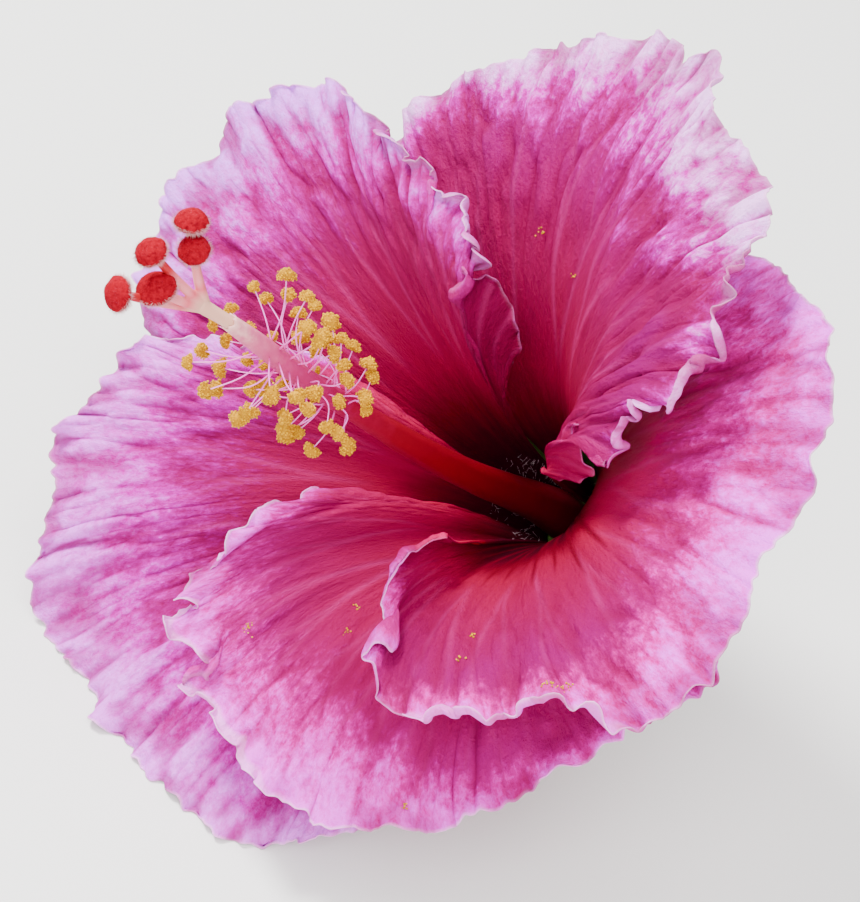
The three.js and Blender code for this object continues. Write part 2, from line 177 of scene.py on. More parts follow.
def ringFaces(rings, sides, joined=False, capped=False):  # faces between rings of points
    i, j = np.meshgrid(np.arange(rings if joined else rings - 1), np.arange(sides), indexing="ij")
    k, m = (j + 1) % sides, (i + 1) % rings
    quads = np.stack([i * sides + j, i * sides + k, m * sides + k, m * sides + j], -1).reshape(-1, 4)
    caps = [list(range(sides))[::-1], [(rings - 1) * sides + j for j in range(sides)]] if capped else []
    return quads.tolist() + caps


def waves(seed, place, table):  # uneven waves along a line, of (height, length) each
    return sum(height * noise2(seed + k, place / length, 0.5) for k, (height, length) in enumerate(table))


def hoops(centres, angles, wide, tall, side, up):  # rings of points round a line of centres
    return (centres[:, None] + (np.cos(angles)[None, :] * wide)[..., None] * side
            + (np.sin(angles)[None, :] * tall)[..., None] * up)


def framesAlong(centres):  # two directions square to each step of a line
    ahead = unit(np.gradient(centres, axis=0))
    side = np.array([0.0, 1, 0]) if abs(ahead[0][0]) > 0.9 else np.array([1.0, 0, 0])
    sides = []
    for direction in ahead:
        side = unit(side - direction * (side @ direction))
        sides.append(side)
    sides = np.array(sides)
    return ahead, sides, np.cross(ahead, sides)


def rod(centres, radii, sides, capped=True):  # round rod, its points and faces
    centres = np.asarray(centres, float)
    _, side, up = framesAlong(centres)
    angles = np.arange(sides) * 2 * math.pi / sides
    radii = np.broadcast_to(np.asarray(radii, float), (len(centres),)) if np.ndim(radii) < 2 else radii
    radii = radii[:, None] if np.ndim(radii) == 1 else radii
    rings = hoops(centres, angles, radii, radii, side[:, None], up[:, None])
    return rings.reshape(-1, 3), ringFaces(len(centres), sides, capped=capped)


ballCache = {}


def ball(detail):  # icosphere of radius 1
    if detail not in ballCache:
        mesh = bpy.data.meshes.new("ball")
        work = bmesh.new()
        bmesh.ops.create_icosphere(work, subdivisions=detail, radius=1)
        work.to_mesh(mesh)
        work.free()
        points = np.array([v.co for v in mesh.vertices])
        ballCache[detail] = (points, [list(p.vertices) for p in mesh.polygons])
        bpy.data.meshes.remove(mesh)
    return ballCache[detail]


def fused(points, faces, voxel, rounds):  # closed bodies grown together into one smooth skin
    mesh = bpy.data.meshes.new("rough")
    mesh.from_pydata(points, [], faces)
    rough = bpy.data.objects.new("rough", mesh)
    bpy.context.scene.collection.objects.link(rough)
    skin = rough.modifiers.new("skin", "REMESH")
    skin.mode, skin.voxel_size = "VOXEL", voxel
    smooth = rough.modifiers.new("smooth", "SMOOTH")
    smooth.iterations, smooth.factor = rounds, 0.5
    seen = rough.evaluated_get(bpy.context.evaluated_depsgraph_get())
    result = seen.to_mesh()
    newPoints = np.array([v.co for v in result.vertices])
    newFaces = [list(p.vertices) for p in result.polygons]
    seen.to_mesh_clear()
    bpy.data.objects.remove(rough)
    bpy.data.meshes.remove(mesh)
    return newPoints, newFaces


def facing(direction):  # 3 x 3 turn that sends +Z to a direction
    return np.array(Vector((0, 0, 1)).rotation_difference(Vector(direction)).to_matrix())


# material tools

def colour(hexText):  # sRGB hex to linear
    parts = [int(hexText[i:i + 2], 16) / 255 for i in (1, 3, 5)]
    return [c / 12.92 if c <= 0.04045 else ((c + 0.055) / 1.055) ** 2.4 for c in parts] + [1.0]


def addNode(tree, kind, inputs=None, output=0, stops=None, **settings):  # with its settings and links
    made = tree.nodes.new("ShaderNode" + kind)
    for key, setting in settings.items():
        setattr(made, key, setting)
    if stops:  # hex colour or grey level at each place of a ramp
        elements = made.color_ramp.elements
        while len(elements) < len(stops):
            elements.new(0.5)
        for element, (place, tint) in zip(elements, stops):
            element.position = place
            element.color = colour(tint) if isinstance(tint, str) else (tint, tint, tint, 1)
    for key, source in (inputs or {}).items():
        if isinstance(source, bpy.types.NodeSocket):
            tree.links.new(source, made.inputs[key])
        else:
            made.inputs[key].default_value = colour(source) if isinstance(source, str) else source
    return made.outputs[output]


def newSurface(name, **sockets):
    material = bpy.data.materials.new(name)
    material.use_nodes = True
    tree = material.node_tree
    shader = tree.nodes["Principled BSDF"]
    for key, setting in sockets.items():
        shader.inputs[key.replace("_", " ")].default_value = setting
    return material, tree, shader


def tonedSurface(name, stops, noises=(), bump=(0, 0), **sockets):
    # coloured by the mesh's own tone, made uneven by noises of (grains per mm, detail, weight).
    # The last of them is also the surface's relief, of (strength, depth in mm).
    material, tree, shader = newSurface(name, **sockets)
    tone = addNode(tree, "Attribute", output="Fac", attribute_name="tone")
    for perMm, detail, weight in noises:
        noise = addNode(tree, "TexNoise", {"Vector": addNode(tree, "TexCoord", output="Object"),
                                           "Scale": perMm / metre, "Detail": detail})
        centred = addNode(tree, "Math", {0: noise, 1: 0.5}, operation="SUBTRACT")
        tone = addNode(tree, "Math", {0: centred, 1: weight, 2: tone}, operation="MULTIPLY_ADD")
    tree.links.new(addNode(tree, "ValToRGB", {0: tone}, stops=stops), shader.inputs["Base Color"])
    if noises:
        strength, depth = bump
        made = addNode(tree, "Bump", {"Height": noise, "Strength": strength, "Distance": depth * metre})
        tree.links.new(made, shader.inputs["Normal"])
    return material


def hairSurface(name, root, tip):
    # clear plant hairs, which glow a little where light comes through
    return tonedSurface(name, [(0.0, root), (1.0, tip)], Roughness=0.5, IOR=1.45, Subsurface_Weight=0.3,
                        Subsurface_Radius=(1.0, 0.7, 0.7), Subsurface_Scale=0.4 * metre)


def hair(pile, root, direction, length, thickness, paleness=1.0):  # three-sided hair with a fine tip
    direction = unit(direction)
    side = unit(np.cross(direction, [0.3, 0.5, 0.81]))
    up = np.cross(direction, side)
    corners = [root + thickness * (math.cos(a) * side + math.sin(a) * up) for a in (0, 2.094, 4.189)]
    pile.add(np.array(corners + [root + direction * length]), [[0, 1, 3], [1, 2, 3], [2, 0, 3], [2, 1, 0]],
             [0, 0, 0, paleness])


# petal tissue

petalLook = {
    "roughness": 0.58,  # waxy but finely hairy skin
    "ior": 1.4,
    "subsurface": 0.1,  # thin living tissue glows where light comes through
    "glow": (1.0, 0.25, 0.45),
    "glowDepth": 1.2,  # mm
    "gloss": 0.06,  # cone-shaped skin cells scatter most of the shine
    "cellSize": 0.09,  # mm, skin cells drawn a little coarser than the real 0.03 to show
    # the eye starts near-black: its own maroon, deepened at the bottom of the throat as painted shade
    "body": [(0.0, "#220006"), (0.12, "#40000a"), (0.24, "#6c0014"), (0.38, "#980034"), (0.56, "#960040"),
             (0.78, "#90004c"), (1.0, "#8c0060")],
    "vein": "#e43ca0",
    "flame": "#640010",  # dark streaks that run out of the eye
    "rim": "#ffb4f6",
    "crease": "#80003c",  # painted shade in the bottom of a crease
    "back": "#c01480",
}


def petalTissue(name, petal):
    magenta, pale, palest = petal["tints"]
    mottling = petal.get("mottling", 1)
    material, tree, shader = newSurface(
        name, Roughness=petalLook["roughness"], IOR=petalLook["ior"],
        Subsurface_Weight=petalLook["subsurface"], Subsurface_Radius=petalLook["glow"],
        Subsurface_Scale=petalLook["glowDepth"] * metre, Specular_IOR_Level=petalLook["gloss"])
    place = addNode(tree, "UVMap", uv_map="ribs")  # x across, y along, in mm
    core, paleness, vein, streak, edge, relief, depth, back = (
        addNode(tree, "Attribute", output="Fac", attribute_name=key)
        for key in ("core", "pale", "vein", "streak", "edge", "relief", "depth", "back"))

    def counted(width, length):  # the place, counted in spots of this size in mm
        return addNode(tree, "Mapping", {0: place, "Scale": (1 / width, 1 / length, 1)})

    def grain(width, length, detail=3.0, rough=0.6):  # noise drawn out along the ribs, -0.5 to 0.5
        made = addNode(tree, "TexNoise", {"Vector": counted(width, length), "Scale": 1.0, "Detail": detail,
                                          "Roughness": rough})
        return addNode(tree, "Math", {0: made, 1: 0.5}, operation="SUBTRACT")

    def plus(*terms, total=0.0):  # sum of (value, weight)
        for term, weight in terms:
            total = addNode(tree, "Math", {0: term, 1: weight, 2: total}, operation="MULTIPLY_ADD")
        return total

    broad, cloud = grain(8, 16), grain(3.2, 5, 4.0)
    feather, mottle, fine = grain(0.9, 5), grain(0.9, 1.2, 5.0, 0.7), grain(0.3, 0.5)
    dapple = addNode(tree, "TexVoronoi", {"Vector": counted(0.9, 1.3), "Scale": 1.0}, feature="SMOOTH_F1")
    dapple = addNode(tree, "Math", {0: 0.45, 1: dapple}, operation="SUBTRACT")
    # eye and body of the petal: maroon to red to hot pink, darker where depth is low and brighter where it
    # is high, as painted shade and painted light
    uneven = plus((broad, 0.2), (feather, 0.07), (mottle, 0.06))
    bodyTone = addNode(tree, "Math", {0: core, 1: uneven}, operation="ADD", use_clamp=True)
    body = addNode(tree, "ValToRGB", {0: bodyTone}, stops=petalLook["body"])
    tint = addNode(tree, "Mix", {0: 1.0, 6: body, 7: depth}, output=2, data_type="RGBA",
                   blend_type="MULTIPLY")
    # pale margin: soft clouds broken by fine mottling, paler on the crests of the relief as a painted
    # highlight
    paleTone = plus((paleness, 1.0), (broad, 0.35 * mottling), (cloud, 0.5 * mottling), (feather, 0.1),
                    (mottle, 0.75 * mottling), (dapple, 0.3), (fine, 0.3), (relief, 0.25), total=-0.1)
    margin = addNode(tree, "ValToRGB", {0: paleTone}, stops=[(0.08, magenta), (0.4, pale), (0.8, palest)])
    # shares of the colours over the body, by place on a value from 0 to 1
    marginShare = addNode(tree, "ValToRGB", {0: paleTone}, stops=[(0.0, 0.0), (0.15, 0.4), (0.45, 1.0)])
    veinShare = addNode(tree, "ValToRGB", {0: core}, stops=[(0.4, 0), (0.55, 0.25), (0.8, 0.35), (1, 0.2)])
    veinShare = addNode(tree, "Math", {0: vein, 1: veinShare}, operation="MULTIPLY")
    # painted shade: the crease colour laid where the relief is low
    creaseShadeShare = addNode(tree, "ValToRGB", {0: relief}, stops=[(0.05, 0.6), (0.4, 0.15), (0.6, 0.0)])
    backShare = addNode(tree, "ValToRGB", {0: core}, stops=[(0.5, 0.0), (0.85, 0.3)])
    backShare = addNode(tree, "Math", {0: back, 1: backShare}, operation="MULTIPLY")
    layers = ((marginShare, margin), (veinShare, petalLook["vein"]), (streak, petalLook["flame"]),
              (edge, petalLook["rim"]), (creaseShadeShare, petalLook["crease"]), (backShare, petalLook["back"]))
    for share, over in layers:
        tint = addNode(tree, "Mix", {0: share, 6: tint, 7: over}, output=2, data_type="RGBA")
    tree.links.new(tint, shader.inputs["Base Color"])
    # the skin cells, then pleats between the veins
    cell = petalLook["cellSize"]
    skin = addNode(tree, "TexVoronoi", {"Vector": counted(cell, cell / 0.6), "Scale": 1.0}, feature="F1")
    skin = addNode(tree, "Bump", {"Height": skin, "Strength": 0.12, "Distance": 0.03 * metre})
    pleats = plus((grain(0.8, 7), 0.4), (fine, 0.3), (mottle, 1.2), (dapple, 0.2))
    bump = addNode(tree, "Bump", {"Height": pleats, "Normal": skin, "Strength": 0.8,
                                  "Distance": 0.7 * metre})
    tree.links.new(bump, shader.inputs["Normal"])
    return material


# petals

petalForm = {
    "thickness": 0.34,  # mm
    "rest": 0.2,  # mm, lowest the middle of a petal comes to the surface
    "clawHeight": 2.0,
    "clawHalfAngle": 37,
    "clawRadius": (6.3, 4.7),  # under side, over side
    "under": {"lean": 13, "tube": 22, "rise": 5, "reach": 0.5},
    "middle": {"lean": 8.5, "tube": 22, "rise": 0, "reach": 0.55},
    "over": {"lean": 4, "tube": 26, "rise": 10, "reach": 0.5},
    "edgeSoftening": 0.07,
    "liftWay": (0.22, 0.91, 0.34),  # where a lifted lip goes
    "liftReach": 2.8,  # mm in from the edge
    "across": 520,
    "along": 130,
    "frillSteps": 12,  # rows in the thin frill past the edge line
    # its unevenness along the edge as (height, length in mm)
    "frillWidths": [(0.4, 3.1), (0.35, 1.3)],  # share of the width
    "frillBends": [(60, 4.2), (75, 1.7)],  # degrees
    "frillCrimp": [(1.3, 1.25), (0.8, 0.7)],  # mm
    "alongPower": 0.85,  # below 1, points lie closer together towards the edge
    # uneven waves of the sheet as (height, length across, how far in from the edge they die out), mm
    "ripples": [(1.1, 5.5, 4.5), (1.15, 2.4, 1.9), (0.6, 1.2, 1.2)],
    "teeth": [(0.8, 2.7), (0.55, 1.2)],  # uneven scallops of the edge as (height, length), mm
    "teethReach": 1.6,
    "creases": [(0.5, 5.2, 3.2), (0.22, 2.4, 7)],  # (depth, distance apart, number along a rib)
    "creaseWidth": 0.3,  # share of the distance apart
    "puckers": [(0.7, 3.8, 11), (0.36, 1.7, 26)],  # (height, length across, number along a rib)
    "folds": (1.1, 13, 1.6),  # the same, for the broad folds along the ribs
    "sway": (1.6, 11, 4),  # the same, for how the folds and creases stray to the side
    "foldsGrow": (0.3, 0.9),  # shares of the rib between which the folds grow, and the creases
    "creasesGrow": (0.35, 0.85),
    "veinDepth": 0.1,
    "edgeThinness": (0.45, 1.5),  # share of the thickness left at the edge, and how far in it grows full
}

# edge points as [angle, radius, height]. What follows runs along the edge from the under side (0) to the
# over side (1), as one value or a table, lengths in mm: pale is the width of the pale margin, ruffle how
# far in from the edge its waves die out, frill the width of the thin last strip and turned its bend in
# degrees, up over the petal's face, lace how crimped it is, crinkle the strength of creases and puckers,
# depth how bright the red is (behind on the back), a painted light and shade: raised where the face lies
# in shadow, such as under a neighbour's overhang, and lowered where the over side sinks into the throat;
# lift how far the lip is raised. The eye's colours run from coreStart to coreEnd along a rib, and tints are
# the margin's colours, from the inside out.
petals = {
    "petal_right": {
        "claw": 332,
        "edge": [
            [24, 40, 35], [18, 49, 39], [7, 54, 42], [0, 58, 44], [351, 59, 45], [341, 58, 45],
            [333, 57, 45], [328, 56, 45], [322, 58, 46], [317, 58, 46], [311, 59, 47], [307, 58, 48],
            [302, 55, 49], [298, 50, 52], [292, 49, 52], [285, 46, 52], [278, 44, 53], [271, 41, 54],
            [267, 35, 55], [270, 33, 55], [272, 34, 53], [270, 28, 54], [271, 23, 51], [276, 20, 47],
            [279, 19, 44]
        ],
        "over": {"lean": 14, "tube": 18, "rise": 20, "reach": 0.33},
        "pale": [(0, 11), (0.15, 15), (0.3, 17), (0.43, 16), (0.52, 11), (0.6, 5), (0.68, 3), (0.79, 2),
                 (0.85, 3), (0.88, 4), (0.91, 3), (0.95, 1), (1, 0.2)],
        "ruffle": [(0, 13), (0.75, 11), (0.82, 7), (0.9, 6), (1, 9)],
        "frill": [(0, 0.7), (0.5, 0.9), (0.6, 1.7), (0.75, 1.9), (0.8, 1.3), (0.86, 0.6), (0.95, 0.3),
                  (1, 0.3)],
        "turned": [(0, 10), (0.5, 30), (0.6, 90), (0.7, 120), (0.78, 80), (0.86, 20), (0.95, 10), (1, 0)],
        "tints": ("#94005c", "#d4009c", "#ff54ff"),
        "coreStart": [(0, 13), (0.36, 15), (0.47, 25), (0.75, 27), (1, 27)],
        "coreEnd": 62,
        "flames": 9,
        "lace": [(0.52, 0), (0.6, 0.5), (0.74, 0.5), (0.8, 0)],
        "crinkle": [(0, 1), (0.8, 1), (0.87, 0.4), (1, 0.4)],
        "seed": 3,
        "depth": [(0, 1.6), (0.35, 1.6), (0.52, 0.95), (0.84, 0.9), (0.92, 0.95), (0.96, 0.8), (1, 0.6)],
        "behind": [(0, 1.1), (0.8, 1.1), (0.86, 1.7), (1, 1.7)],
        "lift": [(0.9, 0), (0.94, 1.2), (1, 1.8)],
    },
    "petal_lower": {
        "claw": 260,
        "edge": [
            [320, 40, 28], [313, 51, 32], [304, 52, 36], [294, 51, 37], [287, 51, 37], [279, 51, 37],
            [268, 53, 38], [259, 53, 39], [251, 54, 40], [245, 53, 41], [240, 52, 43], [234, 49, 45],
            [226, 47, 47], [221, 47, 50], [223, 43, 49], [214, 43, 52], [213, 38, 52], [210, 39, 53],
            [210, 32, 53], [209, 28, 53], [206, 23, 51], [202, 20, 48], [197, 17, 42], [196, 18, 36],
            [192, 15, 32]
        ],
        "pale": [(0, 1), (0.2, 2), (0.3, 3), (0.38, 8), (0.48, 13), (0.6, 9), (0.75, 9), (0.86, 4),
                 (0.92, 1.2), (1, 0.8)],
        "ruffle": [(0, 13), (0.55, 11), (0.62, 6), (0.75, 6), (0.85, 9), (1, 9)],
        "frill": [(0, 0.5), (0.42, 0.6), (0.5, 1.3), (0.58, 2.0), (0.7, 2.0), (0.76, 1.2), (0.9, 0.6),
                  (1, 0.4)],
        "turned": [(0, 10), (0.4, 20), (0.5, 70), (0.64, 90), (0.74, 80), (0.8, 50), (0.9, 70), (1, 20)],
        "tints": ("#940058", "#cc009c", "#ff50f8"),
        "coreStart": 8,
        "coreEnd": 58,
        "lace": [(0.46, 0), (0.54, 0.9), (0.76, 0.8), (0.85, 0.2)],
        "crinkle": 0.9,
        "seed": 11,
        "depth": [(0, 1.5), (0.35, 1.5), (0.5, 1.05), (0.74, 1.05), (0.82, 1.25), (1, 1.3)],
    },
    "petal_left": {
        "claw": 188,
        "edge": [
            [257, 42, 29], [249, 52, 30], [246, 55, 32], [235, 61, 34], [228, 63, 37], [218, 63, 41],
            [209, 65, 43], [202, 65, 43], [193, 70, 44], [187, 68, 48], [183, 63, 50], [181, 63, 51],
            [177, 60, 52], [171, 62, 53], [165, 54, 54], [156, 49, 55], [151, 42, 53], [147, 36, 50],
            [142, 30, 44], [136, 25, 38]
        ],
        "pale": [(0, 7), (0.2, 13), (0.4, 20), (0.62, 23), (0.75, 20), (0.85, 11), (0.93, 3), (1, 1.5)],
        "ruffle": [(0, 13), (1, 11)],
        "frill": [(0, 0.5), (0.3, 0.6), (0.6, 1.0), (0.75, 0.9), (0.9, 0.8), (1, 0.4)],
        "turned": [(0, 10), (0.3, 10), (0.55, 50), (0.7, 60), (0.85, 40), (0.92, 110), (1, 20)],
        "tints": ("#920068", "#cc00b4", "#f478ff"),
        "coreStart": 10,
        "coreEnd": 62,
        "lace": 0.2,
        "crinkle": 1.15,
        "seed": 23,
        "depth": [(0, 1), (0.88, 1), (0.95, 1.4), (1, 1.5)],
        "mottling": 0.6,
    },
    "petal_upper_left": {
        "claw": 116,
        "edge": [
            [162, 48, 40], [151, 58, 47], [136, 62, 51], [130, 64, 52], [124, 61, 53], [119, 62, 54],
            [116, 63, 54], [106, 57, 54], [100, 54, 54], [97, 50, 54], [92, 43, 54], [87, 39, 54],
            [83, 35, 54], [76, 33, 54], [78, 31, 53], [69, 29, 53], [62, 25, 52], [58, 21, 50],
            [64, 18, 50], [61, 21, 47], [55, 21, 44], [51, 18, 39], [54, 14, 35]
        ],
        "pale": [(0, 8), (0.15, 14), (0.3, 21), (0.45, 18), (0.58, 9), (0.7, 4), (0.82, 3), (0.87, 0.6),
                 (1, 0.4)],
        "ruffle": [(0, 13), (0.66, 12), (0.72, 8), (0.8, 7), (0.86, 5), (0.93, 5), (1, 8)],
        "frill": [(0, 0.5), (0.3, 0.6), (0.6, 0.9), (0.72, 2.2), (0.82, 2.6), (0.87, 1.4), (0.92, 0.4),
                  (1, 0.4)],
        "turned": [(0, 10), (0.35, 20), (0.6, 60), (0.72, 150), (0.83, 170), (0.88, 120), (0.92, 10),
                   (1, 0)],
        "tints": ("#8c0058", "#c404a8", "#e080ff"),
        "coreStart": 13,
        "coreEnd": 62,
        "lace": [(0.62, 0.1), (0.72, 0.45), (0.86, 0.35), (0.9, 0)],
        "crinkle": [(0, 1.4), (0.85, 1.4), (0.9, 0.6), (1, 0.6)],
        "seed": 37,
        "depth": [(0, 0.9), (0.25, 0.95), (0.5, 1.1), (0.8, 1), (0.86, 0.62), (1, 0.5)],
        "mottling": 0.62,
    },
    "petal_upper_right": {
        "claw": 44,
        "edge": [
            [110, 39, 38], [96, 50, 44], [84, 54, 46], [75, 54, 47], [64, 56, 48], [56, 58, 49],
            [49, 60, 50], [43, 61, 51], [41, 59, 51], [37, 62, 51], [29, 56, 52], [23, 57, 52],
            [17, 57, 52], [13, 56, 52], [9, 53, 52], [5, 50, 53], [1, 48, 53], [356, 48, 53],
            [351, 44, 53], [347, 42, 52], [348, 38, 51], [345, 34, 50], [340, 32, 47], [335, 30, 45],
            [345, 27, 45], [347, 23, 44], [336, 25, 40], [333, 21, 36], [336, 15, 32]
        ],
        "pale": [(0, 2.5), (0.12, 4), (0.2, 6), (0.3, 9), (0.38, 12), (0.46, 15), (0.57, 14), (0.63, 5),
                 (0.7, 1.6), (0.8, 1.2), (0.85, 0.6), (1, 0.3)],
        "ruffle": [(0, 13), (0.4, 9), (0.5, 9), (0.56, 12), (0.72, 9), (0.8, 6), (1, 6)],
        "frill": [(0, 0.5), (0.4, 0.6), (0.6, 0.8), (0.64, 1.7), (0.7, 2.3), (0.79, 1.8), (0.83, 0.7),
                  (0.86, 0.3), (1, 0.3)],
        "turned": [(0, 10), (0.4, 20), (0.6, 30), (0.66, 110), (0.74, 150), (0.8, 140), (0.86, 80),
                   (0.92, 10), (1, 0)],
        "tints": ("#92005c", "#d404bc", "#f8b0ff"),
        "coreStart": 7,
        "coreEnd": 60,
        "lace": [(0.58, 0.1), (0.65, 0.45), (0.8, 0.4), (0.84, 0)],
        "crinkle": [(0, 1.2), (0.3, 1.6), (0.7, 1.8), (0.8, 0.6), (0.86, 0.2), (1, 0.2)],
        "seed": 53,
        "depth": [(0, 1.15), (0.5, 1.1), (0.65, 0.85), (0.8, 1), (0.86, 1.4), (1, 1.3)],
    },
}

veins = {
    "main": 7,
    "rootShift": 0.15,  # this and the spreads are shares of the distance between two main veins
    "firstFork": (0.22, 0.42),  # share of the rib at which each vein forks, then forks again
    "secondFork": (0.5, 0.7),
    "branchSpread": (0.2, 0.3),
    "twigSpread": (0.09, 0.16),
    "wander": 0.004,
    "strength": (0.6, 1.0),
    "width": 0.42,  # mm
}


def acrossPetal(values, t):  # even change from the under side to the over side
    return np.interp(t, np.linspace(0, 1, len(values)), values)


def petalSurface(petal, form):  # middle surface, one row of points for each rib
    count, steps = form["across"], form["along"]
    t = np.linspace(0, 1, count + 1)
    edge = lineThrough(around(*np.array(petal["edge"], float).T), count)
    soft = softened(edge, form["edgeSoftening"])
    clawAngle = petal["claw"] + form["clawHalfAngle"] * (1 - 2 * t)
    start = around(clawAngle, acrossPetal(form["clawRadius"], t), form["clawHeight"])
    outward = soft[:, :2] - start[:, :2]
    distance = np.linalg.norm(outward, axis=1)
    outward = np.column_stack([outward / distance[:, None], np.zeros(count + 1)])
    over = petal.get("over", form["over"])
    lean, tube, rise, reach = (acrossPetal((form["under"][key], form["middle"][key], over[key]), t)
                               for key in ("lean", "tube", "rise", "reach"))
    lean, rise, reach = np.radians(lean), np.radians(rise), reach * distance
    upward = np.array([0, 0, 1.0])
    leave = start + outward * (np.sin(lean) * tube)[:, None] + upward * (np.cos(lean) * tube)[:, None]
    arrive = soft - outward * (np.cos(rise) * reach)[:, None] - upward * (np.sin(rise) * reach)[:, None]
    s = np.linspace(0, 1, 161)[None, :, None]
    fine = ((1 - s) ** 3 * start[:, None] + 3 * (1 - s) ** 2 * s * leave[:, None]
            + 3 * (1 - s) * s ** 2 * arrive[:, None] + s ** 3 * soft[:, None])
    run = runAlong(fine)
    v = np.linspace(0, 1, steps + 1) ** form["alongPower"]
    rows = np.empty((count + 1, steps + 1, 3))
    for i in range(count + 1):
        for k in range(3):
            rows[i, :, k] = np.interp(v * run[i, -1], run[i], fine[i, :, k])
    length = run[:, -1:]
    toEdge = (1 - v)[None, :] * length
    reach = fromTable(petal["ruffle"], t)[:, None]
    weight = 1 - smoothStep(0, 1, toEdge / reach)
    rows += weight[..., None] * (edge - soft)[:, None]
    lift = fromTable(petal.get("lift", 0), t)[:, None] * np.exp(-(toEdge / form["liftReach"]) ** 2)
    rows += lift[..., None] * np.array(form["liftWay"])
    return rows, t, v, length, toEdge


def surfaceNormals(rows):
    return unit(np.cross(np.gradient(rows, axis=0), np.gradient(rows, axis=1)))


def veinField(rows, t, v, seed):  # 1 on a vein, fading to 0 beside it
    draw = np.random.RandomState(seed)
    wide = np.linalg.norm(np.gradient(rows, axis=0), axis=2) * (len(t) - 1)  # mm per unit of t
    field = np.zeros(rows.shape[:2])
    for k in range(veins["main"]):
        root = (k + 0.5 + draw.uniform(-1, 1) * veins["rootShift"]) / veins["main"]
        fork = draw.uniform(*veins["firstFork"])
        for side in (-1, 1):
            branch = root + side * draw.uniform(*veins["branchSpread"]) / veins["main"]
            secondFork = draw.uniform(*veins["secondFork"])
            for twig in (-1, 1):
                tip = branch + twig * draw.uniform(*veins["twigSpread"]) / veins["main"]
                path = root + (branch - root) * smoothStep(fork, fork + 0.35, v)
                path = path + (tip - branch) * smoothStep(secondFork, secondFork + 0.3, v)
                path = path + veins["wander"] * noise2(seed + k, v * 9, k * 5.0 + side + twig * 0.3)
                gap = np.abs(t[:, None] - path[None, :]) * wide
                strength = (1 - 0.55 * smoothStep(0.3, 1, v))[None, :] * draw.uniform(*veins["strength"])
                field = np.maximum(field, strength * np.exp(-(gap / veins["width"]) ** 2))
    return field


def eased(values, reach):  # the rows of a field evened out along the edge
    padded = np.concatenate([values[:1].repeat(reach, 0), values, values[-1:].repeat(reach, 0)])
    weight = np.hanning(2 * reach + 3)[1:-1]
    return sum(weight[k] * padded[k:k + len(values)] for k in range(2 * reach + 1)) / weight.sum()


def frillRows(rows, t, edgeRun, petal, form):  # the thin last strip, bent up or back in an arc
    seed, steps = petal["seed"], form["frillSteps"]
    run = edgeRun[:, 0]
    width = fromTable(petal["frill"], t)
    width = width * (1 + waves(seed + 6, run, form["frillWidths"]))
    bend = np.radians(fromTable(petal["turned"], t) + waves(seed + 8, run, form["frillBends"]))
    bend = np.where(np.abs(bend) < 0.02, 0.02, bend)
    outward = unit(eased(unit(rows[:, -1] - rows[:, -4]), 3))
    normal = eased(surfaceNormals(rows)[:, -2], 3)
    normal = unit(normal - outward * (normal * outward).sum(1)[:, None])
    share = np.arange(1, steps + 1)[None, :] / steps
    turn, radius = bend[:, None] * share, (width / bend)[:, None]
    crimp = fromTable(petal["lace"], t) * waves(seed + 18, run, form["frillCrimp"])
    strip = (rows[:, -1:] + outward[:, None] * (radius * np.sin(turn))[..., None]
             + normal[:, None] * (radius * (1 - np.cos(turn)) + crimp[:, None] * share)[..., None])
    return strip, width[:, None] * (1 - share), width[:, None]


